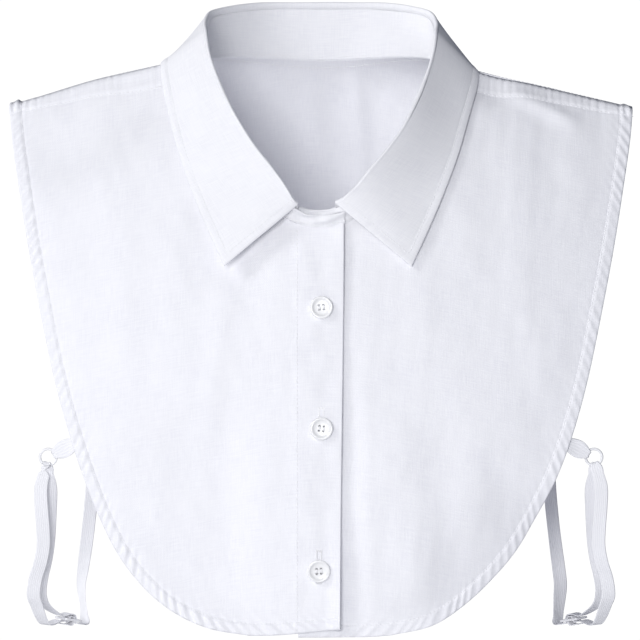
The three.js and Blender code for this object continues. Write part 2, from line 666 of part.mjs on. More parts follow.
// A tape as a closed solid along its route. Each row has a point, the heading of the width and its
// size; hug bends the width round the ring.
function ribbon(rows, ring) {
  const steps = [-1, 0, 1];
  const points = rows.map((row, i) => {
    const along = rows[Math.min(i + 1, rows.length - 1)].point.clone()
      .sub(rows[Math.max(i - 1, 0)].point).normalize();
    const across = row.across.clone().addScaledVector(along, -row.across.dot(along)).normalize();
    return steps.map((step) => {
      const offset = step * row.wide * TAPE_WIDTH / 2;
      const flat = row.point.clone().addScaledVector(across, offset);
      if (!row.hug) return flat;
      const bent = row.point.clone().sub(ring);
      bent.applyAxisAngle(new THREE.Vector3(0, 1, 0), row.hugWay * offset / RING_RADIUS).add(ring);
      return flat.lerp(bent, row.hug);
    });
  });
  return sheet(points, points.map((row) => row.map(() => TAPE_WALL)));
}

// The half turn of a tape round the ring's wire, from its front to its rear. hugWay says which way
// its width runs round the ring.
function ringTurn(ring, outward, hugWay) {
  const reach = RING_WIRE + TAPE_CLEAR + 0.1;
  const across = new THREE.Vector3(0, hugWay, 0).cross(outward);
  const wire = ring.clone().addScaledVector(outward, RING_RADIUS);
  const rows = [];
  for (let s = 0; s <= 6; s += 1) {
    const angle = Math.PI * s / 6;
    const point = wire.clone().addScaledVector(outward, -reach * Math.sin(angle));
    point.y -= reach * Math.cos(angle);
    rows.push({ point, across, wide: 0.7, hug: 1, hugWay });
  }
  return rows;
}

function alongRoute(sign, ring, ply) {
  return ply.map(({ out, back, down, turn, wide }) => {
    const heading = THREE.MathUtils.degToRad(turn);
    return {
      point: new THREE.Vector3(sign * out, back, -down).multiplyScalar(STRAP_DROP).add(ring),
      across: new THREE.Vector3(-sign * Math.cos(heading), Math.sin(heading), 0),
      wide,
    };
  });
}

// The slider's place: its middle, the way that the tape runs through it, and its width and face
function sliderFrame(sign, ring) {
  const { out, back, down } = SLIDER_AT;
  const middle = new THREE.Vector3(sign * out, back, -down).multiplyScalar(STRAP_DROP).add(ring);
  const along = new THREE.Vector3(sign * SLIDER_TO.out, SLIDER_TO.back, -SLIDER_TO.down).normalize();
  const across = new THREE.Vector3(-sign * along.y, sign * along.x, 0).normalize();
  const above = across.clone().cross(along).multiplyScalar(sign).normalize();
  if (above.z < 0) above.negate();
  return { middle, along, across, above };
}

function throughSlider(frame, passage) {
  return passage.map((step) => ({
    point: frame.middle.clone().addScaledVector(frame.along, step.along * SLIDER_BAR)
      .addScaledVector(frame.above, step.above * SLIDER_BAR),
    across: frame.across,
    wide: 1,
  }));
}

// Tab: sewn behind the hem, out and round the ring, and back behind itself
function strapTab(sign) {
  const ring = ringSeat(sign);
  const { x, run } = tabPlace();
  const sewn = (inset, ply) => {
    const behind = -HEM_WALL / 2 - TAPE_CLEAR - ply * (TAPE_WALL + GAP);
    const at = sign * (x - inset);
    const point = onBody(FRONT, at, run).addScaledVector(bodyNormal(FRONT, at, run), behind);
    const across = onBody(FRONT, at, run + 1).sub(onBody(FRONT, at, run - 1)).multiplyScalar(-sign);
    return { point, across, wide: 1 };
  };
  const outward = sewn(0, 0).point.sub(ring).setY(0).normalize();
  const rows = [sewn(TAB_SEWN, 0), sewn(TAB_SEWN / 2, 0), sewn(0, 0), ...ringTurn(ring, outward, 1),
    sewn(0, 1), sewn(TAB_SEWN / 2, 1), sewn(TAB_SEWN, 1)];
  return ribbon(rows, ring);
}

// Long tape: sewn round the slider's middle bar, up to the ring, round it and down again, through
// the slider and up to the inside of the back
function strapTape(sign) {
  const ring = ringSeat(sign);
  const frame = sliderFrame(sign, ring);
  const hang = new THREE.Vector3(sign * 0.2, 0, -1).normalize();
  const low = ring.z + BACK_SEAT_RISE;
  const sewn = [low, low + BACK_SEAT_LENGTH].map((z) => {
    const x = sign * (backEdge(low) - TAPE_WIDTH * 0.6);
    const run = runAtZ(BACK, x, z);
    const normal = bodyNormal(BACK, x, run);
    const point = onBody(BACK, x, run).addScaledVector(normal, -HEM_WALL / 2 - GAP - TAPE_CLEAR);
    const across = onBody(BACK, x - sign, run).sub(onBody(BACK, x + sign, run));
    return { point, across, wide: 1 };
  });
  const rows = [
    ...throughSlider(frame, SEWN_LOOP),
    ...alongRoute(sign, ring, FRONT_PLY),
    ...ringTurn(ring, hang, sign),
    ...alongRoute(sign, ring, REAR_PLY),
    ...throughSlider(frame, THROUGH_PLY),
    ...alongRoute(sign, ring, BACK_PLY),
    ...sewn,
  ];
  return ribbon(rows, ring);
}

// Half width of the back at a height
function backEdge(z) {
  const down = (NECK_POINT_Z - z) / BODY_DROP;
  return read(BACK_ROWS, 'down', 'across', down) * SHOULDER_HALF;
}

function strapRing(sign) {
  const ring = ringSeat(sign);
  return new THREE.TorusGeometry(RING_RADIUS, RING_WIRE, 6, 20).rotateX(Math.PI / 2)
    .translate(ring.x, ring.y, ring.z);
}

function strapSlider(sign) {
  const { middle, along, across, above } = sliderFrame(sign, ringSeat(sign));
  const halfWidth = SLIDER_WIDTH / 2;
  const halfLength = SLIDER_LENGTH / 2;
  const outline = new THREE.Shape();
  const corner = SLIDER_BAR * 0.8;
  outline.absarc(halfWidth - corner, halfLength - corner, corner, 0, Math.PI / 2);
  outline.absarc(corner - halfWidth, halfLength - corner, corner, Math.PI / 2, Math.PI);
  outline.absarc(corner - halfWidth, corner - halfLength, corner, Math.PI, Math.PI * 1.5);
  outline.absarc(halfWidth - corner, corner - halfLength, corner, Math.PI * 1.5, Math.PI * 2);
  outline.closePath();
  const windowX = halfWidth - SLIDER_BAR;
  for (const way of [-1, 1]) {
    const near = way * SLIDER_BAR / 2;
    const far = way * (halfLength - SLIDER_BAR);
    const opening = new THREE.Path();
    opening.moveTo(-windowX, near);
    opening.lineTo(windowX, near);
    opening.lineTo(windowX, far);
    opening.lineTo(-windowX, far);
    opening.closePath();
    outline.holes.push(opening);
  }
  const plate = new THREE.ExtrudeGeometry(outline, {
    depth: SLIDER_THICK, bevelEnabled: false, curveSegments: 3,
  });
  plate.translate(0, 0, -SLIDER_THICK / 2);
  const side = along.clone().cross(above);
  plate.applyMatrix4(new THREE.Matrix4().makeBasis(side, along, above));
  return plate.translate(middle.x, middle.y, middle.z);
}

const group = new THREE.Group();

function add(name, geometry, finish) {
  const mesh = new THREE.Mesh(geometry, new THREE.MeshStandardMaterial(COLOURS[finish]));
  mesh.name = name;
  group.add(mesh);
}

add('front_panel_right', cutAll(frontPanel(-1), buttonholes()), 'cotton');
add('front_panel_left', frontPanel(1), 'cotton');
add('back_panel', backPanel(), 'cotton');
add('collar_stand', collarStand(), 'cotton');
add('collar_leaf', collarLeaf(), 'cotton');
BUTTON_ROWS.forEach((down, k) => add(`button_${k + 1}`, button(down), 'button'));
for (const [name, sign] of [['right', -1], ['left', 1]]) {
  add(`strap_tab_${name}`, strapTab(sign), 'elastic');
  add(`strap_ring_${name}`, strapRing(sign), 'plastic');
  add(`strap_tape_${name}`, strapTape(sign), 'elastic');
  add(`strap_slider_${name}`, strapSlider(sign), 'plastic');
}

export default group;
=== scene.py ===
# %% [markdown]
# # A detachable shirt front in white cotton
#
# The object is a dickey: the front, back and collar of a shirt, cut off at the shoulder tips and
# rounded below, with three buttons on a lapped placket and an elastic strap under each arm. It is
# shown in the form it has when worn, so the cloth keeps the shape of a body that isn't there.
#
# Every size below is in millimetres, as on a cutter's pattern, and a mesh is turned to metres in one
# place, where it is made. +X is the viewer's right, the buttons face -Y and the neck points up.

# %% Load the solids that everything is fitted to
import math
import bmesh
import bpy
import numpy as np
from mathutils import Matrix, Vector


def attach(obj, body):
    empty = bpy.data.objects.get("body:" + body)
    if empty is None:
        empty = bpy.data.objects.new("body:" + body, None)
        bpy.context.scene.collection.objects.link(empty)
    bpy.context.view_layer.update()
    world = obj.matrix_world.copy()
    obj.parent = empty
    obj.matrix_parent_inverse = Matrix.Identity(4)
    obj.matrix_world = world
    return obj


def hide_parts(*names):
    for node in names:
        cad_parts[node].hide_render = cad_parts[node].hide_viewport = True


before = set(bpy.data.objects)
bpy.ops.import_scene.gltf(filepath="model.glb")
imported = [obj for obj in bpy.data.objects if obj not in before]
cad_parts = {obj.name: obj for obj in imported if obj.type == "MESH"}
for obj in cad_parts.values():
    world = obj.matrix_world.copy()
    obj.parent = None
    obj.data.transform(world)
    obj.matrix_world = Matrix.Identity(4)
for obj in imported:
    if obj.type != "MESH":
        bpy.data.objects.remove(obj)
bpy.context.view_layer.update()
print("solids:", ", ".join(sorted(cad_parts)))

# %% [markdown]
# ## The camera first
#
# A picture of clothing like this is taken from a few metres away with a long lens, so that nothing
# is drawn out of shape. The camera stands level with the collar and looks five degrees down. Its
# lens is found from the width that the picture takes in at the object.

# %% Camera
MM = 0.001
SENSOR_WIDTH = 36.0
VIEW_WIDTH = 378.9
VIEW_DISTANCE = 2600.0
VIEW_PITCH = math.radians(5)
VIEW_TARGET = Vector((-0.6, -20.0, -149.0))


def linked(name, data):
    made = bpy.data.objects.new(name, data)
    bpy.context.scene.collection.objects.link(made)
    return made


def put_camera():
    data = bpy.data.cameras.new("Studio camera")
    data.sensor_width = SENSOR_WIDTH
    data.lens = SENSOR_WIDTH * VIEW_DISTANCE / VIEW_WIDTH
    camera = linked("Studio camera", data)
    ahead = Vector((0, math.cos(VIEW_PITCH), -math.sin(VIEW_PITCH)))
    camera.location = (VIEW_TARGET - ahead * VIEW_DISTANCE) * MM
    camera.rotation_euler = (math.pi / 2 - VIEW_PITCH, 0, 0)
    bpy.context.scene.camera = camera
    return camera


camera = put_camera()
print(f"lens {camera.data.lens:.0f} mm, camera at {tuple(round(v, 3) for v in camera.location)} m")

# %% [markdown]
# ## One function for nodes
#
# Materials and Geometry Nodes are both built from nodes in code. A node needs a kind, a few
# settings, and for each input either a value or a link from another node's output, so one small
# function serves them all. Colours are written as the hex values a colour picker shows, and
# one function turns them to the linear numbers that a renderer works with. A few helpers on top of
# it name what the materials have in common: arithmetic, noise, a mix of two colours and a bump.

# %% Nodes and colours
def add_node(tree, kind, inputs=None, **settings):
    made = tree.nodes.new(kind)
    for name, value in settings.items():
        setattr(made, name, value)
    for name, value in (inputs or {}).items():
        if isinstance(value, bpy.types.NodeSocket):
            tree.links.new(value, made.inputs[name])
        else:
            made.inputs[name].default_value = value
    return made


def linear(hex_colour):
    parts = [int(hex_colour[i:i + 2], 16) / 255 for i in (1, 3, 5)]
    return tuple(v / 12.92 if v <= 0.04045 else ((v + 0.055) / 1.055) ** 2.4 for v in parts) + (1.0,)


def first_of(tree, kind, inputs=None, **settings):
    return add_node(tree, kind, inputs, **settings).outputs[0]


def maths(tree, operation, *values):
    return first_of(tree, "ShaderNodeMath", dict(enumerate(values)), operation=operation)


def noise(tree, place, scale, detail):
    return first_of(tree, "ShaderNodeTexNoise", {"Vector": place, "Scale": scale, "Detail": detail})


def spread(tree, value, low, high):
    return first_of(tree, "ShaderNodeMapRange", {"Value": value, "From Min": low, "From Max": high})


def stripes(tree, along, pitch, wave):
    return maths(tree, wave, maths(tree, "MULTIPLY", along, math.tau / (pitch * MM)))


def new_material(name):
    material = bpy.data.materials.new(name)
    material.use_nodes = True
    material.node_tree.nodes.clear()
    return material, material.node_tree


def cloth_map(tree):
    place = add_node(tree, "ShaderNodeUVMap", uv_map="Cloth").outputs["UV"]
    return place, add_node(tree, "ShaderNodeSeparateXYZ", {"Vector": place}).outputs


def surface(tree, blend, colours, height, strength, distance, shader):
    tint = add_node(tree, "ShaderNodeMix", {"Factor": blend, "A": colours[0], "B": colours[1]},
                    data_type="RGBA")
    bump = add_node(tree, "ShaderNodeBump", {"Height": height, "Strength": strength,
                                             "Distance": distance * MM})
    body = add_node(tree, "ShaderNodeBsdfPrincipled",
                    {"Base Color": tint.outputs["Result"], "Normal": bump.outputs[0], **shader})
    add_node(tree, "ShaderNodeOutputMaterial", {"Surface": body.outputs[0]})


print("collar white", [round(v, 3) for v in linear("#f2f2f5")[:3]])

# %% [markdown]
# ## Cotton poplin
#
# Shirt cotton is a plain weave of fine matt yarn. Its threads lie about 0.25 mm apart, which is half
# a pixel in this picture, so the weave is drawn at 0.9 mm, the finest that still shows. What the eye
# really takes in is the uneven yarn: thin streaks along both thread directions. The pattern follows
# the cloth's own map, which is laid out in metres, so it bends and turns with the cloth. The collar
# has the same cotton glued to a stiffener, which makes it flatter.

# %% Cotton
WEAVE_PITCH = 0.9
STREAK_LONG, STREAK_FINE = 90, 1500


def cotton(name, colour, shade, weave, slub):
    material, tree = new_material(name)
    place, apart = cloth_map(tree)
    crossing = maths(tree, "MULTIPLY", *(stripes(tree, apart[axis], WEAVE_PITCH, "SINE") for axis in "XY"))
    yarns = []
    for scale in ((STREAK_LONG, STREAK_FINE, 1), (STREAK_FINE, STREAK_LONG, 1)):
        stretched = first_of(tree, "ShaderNodeMapping", {"Vector": place, "Scale": scale})
        yarns.append(noise(tree, stretched, 1.0, 2.0))
    uneven = maths(tree, "ADD", *yarns)
    height = maths(tree, "MULTIPLY_ADD", uneven, slub, maths(tree, "MULTIPLY", crossing, weave))
    blend = maths(tree, "MULTIPLY", noise(tree, place, 45.0, 3.0), spread(tree, uneven, 0.75, 1.25))
    surface(tree, blend, (linear(colour), linear(shade)), height, 0.3, 0.2,
            {"Roughness": 0.88, "Sheen Weight": 0.12, "Sheen Roughness": 0.5, "Specular IOR Level": 0.25})
    return material


POPLIN = cotton("Cotton poplin, plain weave", "#f7f7fb", "#ebebf2", 0.5, 1.1)
FUSED_POPLIN = cotton("Cotton poplin, fused collar", "#f7f7fa", "#ebebf1", 0.35, 0.8)
print("cotton made:", POPLIN.name, "and", FUSED_POPLIN.name)

# %% [markdown]
# ## Thread, resin, nylon and elastic
#
# Sewing thread is spun polyester, a little shinier than the cloth. Shirt buttons are cast resin,
# turned and polished, so they are glossy with a faint cloudiness. The strap's ring and slider are
# moulded nylon with a soft gloss. The tape is knitted elastic: fine ribs run along it, and each rib
# is a row of loops, so the bump is a stripe across the tape broken by a ripple along it.

# %% Thread, resin, nylon and elastic
RIB_PITCH, LOOP_PITCH, LOOP_SHARE = 1.15, 0.8, 0.35


def plain(name, colour, roughness, coat=0.0, cloud=0.0):
    material, tree = new_material(name)
    drift = noise(tree, add_node(tree, "ShaderNodeTexCoord").outputs["Object"], 420.0, 3.0)
    white = linear(colour)
    dim = tuple(v * (1 - cloud) for v in white[:3]) + (1.0,)
    surface(tree, drift, (white, dim), drift, 0.08, 0.1,
            {"Roughness": roughness, "Coat Weight": coat, "Coat Roughness": 0.12})
    return material


def elastic(name, colour, groove):
    material, tree = new_material(name)
    apart = cloth_map(tree)[1]
    ribs = stripes(tree, apart["X"], RIB_PITCH, "COSINE")
    loops = stripes(tree, apart["Y"], LOOP_PITCH, "COSINE")
    height = maths(tree, "MULTIPLY_ADD", loops, LOOP_SHARE, ribs)
    # painted shade: the colour moves to the darker groove colour where the knit's bump is low, between the
    # ribs
    surface(tree, spread(tree, height, -1.3, 1.3), (linear(groove), linear(colour)), height, 0.3, 0.2,
            {"Roughness": 0.7, "Sheen Weight": 0.15})
    return material


THREAD = plain("Polyester sewing thread, spun", "#f4f4f6", 0.6)
RESIN = plain("Cast resin, polished", "#f7f7f8", 0.24, coat=0.5, cloud=0.04)
NYLON = plain("Moulded nylon, soft gloss", "#f3f3f6", 0.35, coat=0.2)
# the second colour is painted shade for the grooves between the ribs
ELASTIC = elastic("Knitted elastic tape", "#f8f8fb", "#efeff4")
print("trims made:", ", ".join(m.name for m in (THREAD, RESIN, NYLON, ELASTIC)))

# %% [markdown]
# ## The body under the cloth
#
# The cloth hangs on the form of a chest that isn't there. A place on that form is given as x, across,
# and run, the length down from the shoulder ridge. The front falls away from the ridge in one long
# curve, and the back a little faster. These are the same sizes and tables that the solids follow, so
# that the fine cloth lies where they are.

# %% Sizes and tables of the form
NECK_HALF, NECK_BACK, NECK_DROP, NECK_POINT_Z = 66.0, 60.0, 96.0, 4.5
SHOULDER_HALF, SHOULDER_SLOPE, SHOULDER_SOFT = 185.0, 0.232, 30.0
BODY_DROP, BACK_DROP, TORSO_HALF, TORSO_SQUARE = 333.0, 300.0, 230.0, 2.6
FRONT = {"toward": -1, "depth": 88.0, "fall": 100.0, "round": 5.0}
BACK = {"toward": 1, "depth": 78.0, "fall": 36.0, "round": 100.0}
HEM_WALL, HEM_WIDTH, PLACKET_WIDTH, PLACKET_RISE, LAP, GAP = 1.6, 7.0, 28.8, 5.0, 13.3, 0.3
HEM_STATIONS = (11, 9.6, 8.5, 7.7, 7.1, 6.4, 5.6, 4.8, 4, 3.1, 2.3, 1.6, 1, 0.5, 0.2, 0)
STAND_HEIGHT, STAND_WALL, LEAF_WALL, LEAF_END = 34.0, 1.6, 1.2, 9.0
LEAF_RISE, LEAF_CLEAR, LEAF_BULGE = 4.0, 1.4, 4.0
LAP_LIFT = STAND_WALL + GAP
NECK_SHARE, NECK_POWER = 0.35, 1.08
LAP_END = 180 + math.degrees(math.asin(LAP / NECK_HALF))
LEAF_LAST = 180 - math.degrees(math.asin(LEAF_END / NECK_HALF))


def table(columns, *rows):
    return dict(zip(columns.split(), np.array(rows, float).T))


FRONT_ROWS = table(
    "along across down bow tuck",
    (0, 1, 0.084, 0, 0), (0.06, 0.988, 0.139, 0, 0), (0.125, 0.962, 0.223, 0, 0),
    (0.195, 0.932, 0.316, 0, 0), (0.27, 0.896, 0.416, 0.004, 0), (0.35, 0.842, 0.554, 0.008, 0),
    (0.43, 0.792, 0.652, 0.012, 0), (0.51, 0.749, 0.723, 0.014, 0.002), (0.59, 0.699, 0.796, 0.016, 0.006),
    (0.67, 0.637, 0.862, 0.017, 0.009), (0.75, 0.559, 0.916, 0.016, 0.011),
    (0.83, 0.468, 0.957, 0.014, 0.009), (0.915, 0.352, 0.985, 0.011, 0.004),
    (1, 0.225, 0.997, 0.008, 0.001))
BACK_ROWS = table(
    "along across down",
    (0, 1, 0.084), (0.1, 0.968, 0.15), (0.2, 0.935, 0.235), (0.3, 0.905, 0.33), (0.4, 0.868, 0.43),
    (0.52, 0.815, 0.55), (0.64, 0.745, 0.66), (0.76, 0.65, 0.755), (0.88, 0.52, 0.832), (1, 0.35, 0.887))
COLLAR = table(
    "around fold_x fold_y fold_z edge_x edge_run",
    (0, 0, -0.09, 1, 0, 0.75), (35, 0.01, 0.05, 0.93, 0.75, 0.6), (62, 0.12, -0.03, 0.83, 1.24, 0.28),
    (78, 0.08, -0.13, 0.67, 1.39, 0.1), (90, 0.03, -0.2, 0.52, 1.43, 0), (97, 0, -0.26, 0.46, 1.42, -0.13),
    (110, -0.08, -0.32, 0.45, 1.35, -0.36), (125, -0.13, -0.37, 0.42, 1.26, -0.59),
    (145, -0.13, -0.36, 0.48, 1.12, -0.86), (163, -0.03, -0.26, 0.47, 0.96, -1.13),
    (172, 0, -0.16, 0.42, 0.84, -1.32), (180, 0, -0.13, 0.4, 0.84, -1.32))
LEAN = table(
    "around right left ahead",
    (0, 0, 0, 0), (40, 0.02, 0.01, 0), (60, 0.06, 0.03, 0), (80, 0.03, 0.02, 0), (95, 0.01, 0.005, 0),
    (110, -0.04, -0.02, 0.04), (117, -0.08, -0.055, 0.08), (125, -0.135, -0.09, 0.09),
    (134, -0.155, -0.13, 0.08), (146, -0.155, -0.14, 0.04), (159, -0.1, -0.09, 0), (168, 0, -0.04, 0),
    (180, 0, 0, 0))


def read(rows, column, at, key=None):
    """A column's value, on a smooth curve through the rows, where the key column has the value at."""
    keys, values = rows[key or next(iter(rows))], rows[column]
    at = np.asarray(at, float)
    last = len(keys) - 1
    i = np.clip(np.searchsorted(keys, at, "left") - 1, 0, last - 1)
    b, before, after = i + 1, np.maximum(i - 1, 0), np.minimum(i + 2, last)
    span = keys[b] - keys[i]
    t = np.clip((at - keys[i]) / span, 0, 1)
    slope_a = (values[b] - values[before]) / (keys[b] - keys[before]) * span
    slope_b = (values[after] - values[i]) / (keys[after] - keys[i]) * span
    return ((2 * t**3 - 3 * t**2 + 1) * values[i] + (t**3 - 2 * t**2 + t) * slope_a
            + (3 * t**2 - 2 * t**3) * values[b] + (t**3 - t**2) * slope_b)


def smooth(low, high, at):
    t = np.clip((np.asarray(at, float) - low) / (high - low), 0, 1)
    return t * t * (3 - 2 * t)


def window(at, rise_from, rise_to, fall_from, fall_to):
    """One between the rise and the fall, and nothing outside them."""
    return smooth(rise_from, rise_to, at) * (1 - smooth(fall_from, fall_to, at))


def bell(off, width):
    return np.exp(-((off / width) ** 2))


def lengths(line):
    return np.concatenate([[0], np.cumsum(np.linalg.norm(np.diff(line, axis=0), axis=1))])


def unit(v):
    return v / np.maximum(np.linalg.norm(v, axis=-1, keepdims=True), 1e-12)


print(f"widest at the shoulders, {2 * SHOULDER_HALF:.0f} mm; neck {2 * NECK_HALF:.0f} mm wide")

# %% Places on the body form
SHOULDER_SAG, SHOULDER_RISE, NAPE_RISE = 1.9, 3.0, 2.0
SAG_ACROSS, RISE_ACROSS, SETTLE_FADE = (55, 95), (-180, -128, -94, -68), 70
NAPE_HALF, NAPE_DOWN = 40, 75


def ridge(x):
    return NECK_POINT_Z + SHOULDER_SLOPE * (math.hypot(NECK_HALF, SHOULDER_SOFT) - np.hypot(x, SHOULDER_SOFT))


def depth_at(side, x):
    return side["depth"] * (1 - (np.abs(x) / TORSO_HALF) ** TORSO_SQUARE) ** (1 / TORSO_SQUARE)


def run_at_z(side, x, z):
    drop = np.maximum(ridge(x) - z, 0)
    return np.sqrt(drop * drop + 2 * drop * side["round"])


def run_at_y(side, x, y):
    return -side["fall"] * np.log(1 - np.abs(y) / depth_at(side, x))


def seam_run(side):
    return GAP * side["fall"] / side["depth"]


def settle(x, run):
    """How far the cloth sags or lies higher than the form near the shoulders and the neck."""
    shoulders = SHOULDER_RISE * window(x, *RISE_ACROSS) - SHOULDER_SAG * smooth(*SAG_ACROSS, x)
    return shoulders * np.exp(-run / SETTLE_FADE) + NAPE_RISE * bell(x, NAPE_HALF) * bell(run, NAPE_DOWN)


def on_body(side, x, run):
    x, run = np.broadcast_arrays(np.asarray(x, float), np.asarray(run, float))
    y = side["toward"] * depth_at(side, x) * (1 - np.exp(-run / side["fall"]))
    z = ridge(x) + side["round"] - np.hypot(run, side["round"])
    return np.stack([x, y, z], axis=-1)


def settled(points, run):
    moved = points.copy()
    moved[..., 2] += settle(points[..., 0], run)
    return moved


def body_normal(side, x, run):
    step = 0.25
    at = np.maximum(run, step)
    across = on_body(side, x + step, at) - on_body(side, x - step, at)
    down = on_body(side, x, at + step) - on_body(side, x, at - step)
    return unit(np.cross(down, across) * -side["toward"])


def neck_seam(around):
    angle = math.radians(around)
    x = NECK_HALF * math.sin(angle)
    if around <= 90:
        return BACK, x, max(float(run_at_y(BACK, x, NECK_BACK * math.cos(angle))), seam_run(BACK))
    z = NECK_POINT_Z - NECK_DROP * (-math.cos(angle)) ** NECK_POWER
    return FRONT, x, max(float(run_at_z(FRONT, x, z)), seam_run(FRONT))


def lap_lift(x):
    return LAP_LIFT * smooth(-PLACKET_WIDTH * 1.6, -PLACKET_WIDTH * 0.55, x)


print("lowest point of the neck:", np.round(on_body(*neck_seam(180)), 1))

# %% [markdown]
# ## From a grid of points to a piece of cloth
#
# Each piece is laid out as a grid of points on its middle surface with the way out at each, and
# becomes a closed shell: one face lifted above the middle, one sunk below it, and a rim round both.
# A real folded edge is round, so near such an edge both faces bend towards the middle. A pattern map
# in metres goes with it, and the grid is kept, because seams are later sewn along lines on it.

# %% Closed shells
def shade_smooth(mesh, crease=None):
    mesh.polygons.foreach_set("use_smooth", [True] * len(mesh.polygons))
    if crease:
        mesh.set_sharp_from_angle(angle=math.radians(crease))


def to_mesh(name, points, faces, material, uv=None):
    mesh = bpy.data.meshes.new(name)
    mesh.from_pydata((np.asarray(points) * MM).tolist(), [], faces)
    mesh.materials.append(material)
    shade_smooth(mesh)
    if uv is not None:
        layer = mesh.uv_layers.new(name="Cloth")
        corner = np.empty(len(mesh.loops), int)
        mesh.loops.foreach_get("vertex_index", corner)
        layer.data.foreach_set("uv", (np.asarray(uv) * MM)[corner].ravel())
    mesh.validate()
    mesh.update()
    return linked(name, mesh)


def grid_faces(rows, columns, start=0, flip=False):
    a = (np.arange(rows - 1)[:, None] * columns + np.arange(columns - 1)[None]).ravel() + start
    quads = np.stack([a, a + columns, a + columns + 1, a + 1], axis=1)
    return quads[:, ::-1] if flip else quads


def shell(name, middle, out, thick, flat, material, **field):
    """A closed shell, as thick on each side of the middle as thick says. Fields serve later seams."""
    rows, columns = middle.shape[:2]
    top = middle + out * thick[..., None]
    under = middle - out * thick[..., None]
    count = rows * columns
    first, last = np.arange(columns), np.arange(columns) + (rows - 1) * columns
    left, right = np.arange(rows) * columns, np.arange(rows) * columns + columns - 1
    around = np.concatenate([first[:-1], right[:-1], last[:0:-1], left[:0:-1]])
    ahead = np.roll(around, -1)
    rim = np.stack([around, ahead, ahead + count, around + count], axis=1)
    quads = np.concatenate([grid_faces(rows, columns), grid_faces(rows, columns, count, True), rim])
    points = np.concatenate([top.reshape(-1, 3), under.reshape(-1, 3)])
    corner = points[quads]
    volume = (np.einsum("ij,ij->i", corner[:, 0], np.cross(corner[:, 1], corner[:, 2]))
              + np.einsum("ij,ij->i", corner[:, 0], np.cross(corner[:, 2], corner[:, 3]))).sum()
    if volume < 0:
        quads = quads[:, ::-1]
    uv = np.concatenate([flat.reshape(-1, 2)] * 2)
    piece = to_mesh(name, points, quads.tolist(), material, uv)
    side_a, side_b = np.diff(middle, axis=0)[:, :-1], np.diff(middle, axis=1)[:-1]
    area = np.linalg.norm(np.cross(side_a, side_b), axis=-1).sum() * MM * MM
    print(f"{name}: {2 * len(quads)} triangles, {area:.4f} square metres of cloth")
    return {"piece": piece, "top": top, "under": under, "out": out, "area": area, "field": field}


def folded(d, half):
    inside = np.clip(d, 0, half)
    return np.maximum(np.sqrt(np.maximum(half**2 - (half - inside) ** 2, 0)), 0.03)


def faces_at(d, half):
    return np.minimum(folded(d, half), half)


def cloth_half(d):
    """Half the cloth's thickness: one layer, and two more within the hem."""
    return 0.28 + 0.3 * (1 - smooth(HEM_WIDTH - 0.5, HEM_WIDTH + 0.5, d))


# %% [markdown]
# ## Puckered hems
#
# A narrow hem on a curved edge is the most telling detail of this object. The edge is turned twice
# and sewn, the turned part is a little too long for its place, and the sewing pulls it into small
# slanting ridges, as on a rope. So the height of the cloth near an edge depends on the distance from
# the edge and on the length along it. The ridges get an uneven spacing and strength, from a fixed
# seed, since no two on real cloth are alike.

# %% Distance along and from an edge, and the hem's relief
def beside(points, line):
    """For each point of a grid, the distance to a line and how far along the line that is."""
    flat = points.reshape(-1, 3)
    length = lengths(line)
    distance, along = np.empty(len(flat)), np.empty(len(flat))
    for start in range(0, len(flat), 3000):
        part = flat[start:start + 3000]
        nearest = ((part[:, None] - line[None]) ** 2).sum(-1).argmin(1)
        best = np.full(len(part), np.inf)
        place = np.zeros(len(part))
        for first in (np.maximum(nearest - 1, 0), np.minimum(nearest, len(line) - 2)):
            step = line[first + 1] - line[first]
            reach = (step**2).sum(1)
            share = np.clip(((part - line[first]) * step).sum(1) / reach, 0, 1)
            gap = np.linalg.norm(part - line[first] - step * share[:, None], axis=1)
            closer = gap < best
            best = np.where(closer, gap, best)
            place = np.where(closer, length[first] + share * np.sqrt(reach), place)
        distance[start:start + 3000], along[start:start + 3000] = best, place
    return distance.reshape(points.shape[:2]), along.reshape(points.shape[:2])


KNOT_SPACING, PHASE_DRIFT, WEAKEST = 2.2, 2.6, 0.15


def uneven(s, period, seed):
    """Ridges along s that drift in spacing and differ in strength, between two fixed random lines."""
    rng = np.random.default_rng(seed)
    knots = np.arange(-4 * period, s.max() + 8 * period, period * KNOT_SPACING)
    drift = rng.uniform(-PHASE_DRIFT, PHASE_DRIFT, len(knots))
    phase = math.tau * s / period + np.interp(s, knots, drift)
    strength = np.interp(s, knots + period, rng.uniform(WEAKEST, 1, len(knots)))
    crest = 0.5 + 0.5 * np.cos(phase)
    return strength * (crest**1.5 - 0.35)


def hem_relief(d, s, seed, width=HEM_WIDTH, height=0.8, period=5.8, slant=0.9):
    """A raised band with slanting ridges that fade past its seam, and a groove where it is sewn."""
    band = window(d, 0, 0.9, width - 0.7, width + 0.3)
    past = smooth(width - 0.4, width + 0.6, d) * np.exp(-np.maximum(d - width, 0) / 4.5)
    ridges = uneven(s + slant * d, period, seed)
    groove = bell(d - width, 0.6)
    return height * (0.3 * band + band * ridges + 0.45 * past * ridges) - 0.28 * groove


def waves(x, z, size_x, size_z, seed, count=14):
    """Slow uneven waves over a cloth, a sum of plain ones that cross at random angles."""
    rng = np.random.default_rng(seed)
    total = np.zeros_like(x)
    for turn, phase, stretch in zip(rng.uniform(0, math.pi, count), rng.uniform(0, math.tau, count),
                                    rng.uniform(0.7, 1.4, count)):
        total += np.sin(math.tau * stretch * (x * math.cos(turn) / size_x + z * math.sin(turn) / size_z)
                        + phase)
    return total / math.sqrt(count)


print("distances, ridges and waves ready")

# %% [markdown]
# ## The two fronts
#
# A front is a grid of rows that start on the neck seam and then on the centre edge, and end on the
# side edge and the round bottom. Long shallow folds lie in it, from a table of lines with a width and
# a height. The wearer's right front laps over the left: it is lifted there by the layer beneath, its
# centre edge is folded into a placket 28.8 mm wide, and a line of stitches holds the fold.

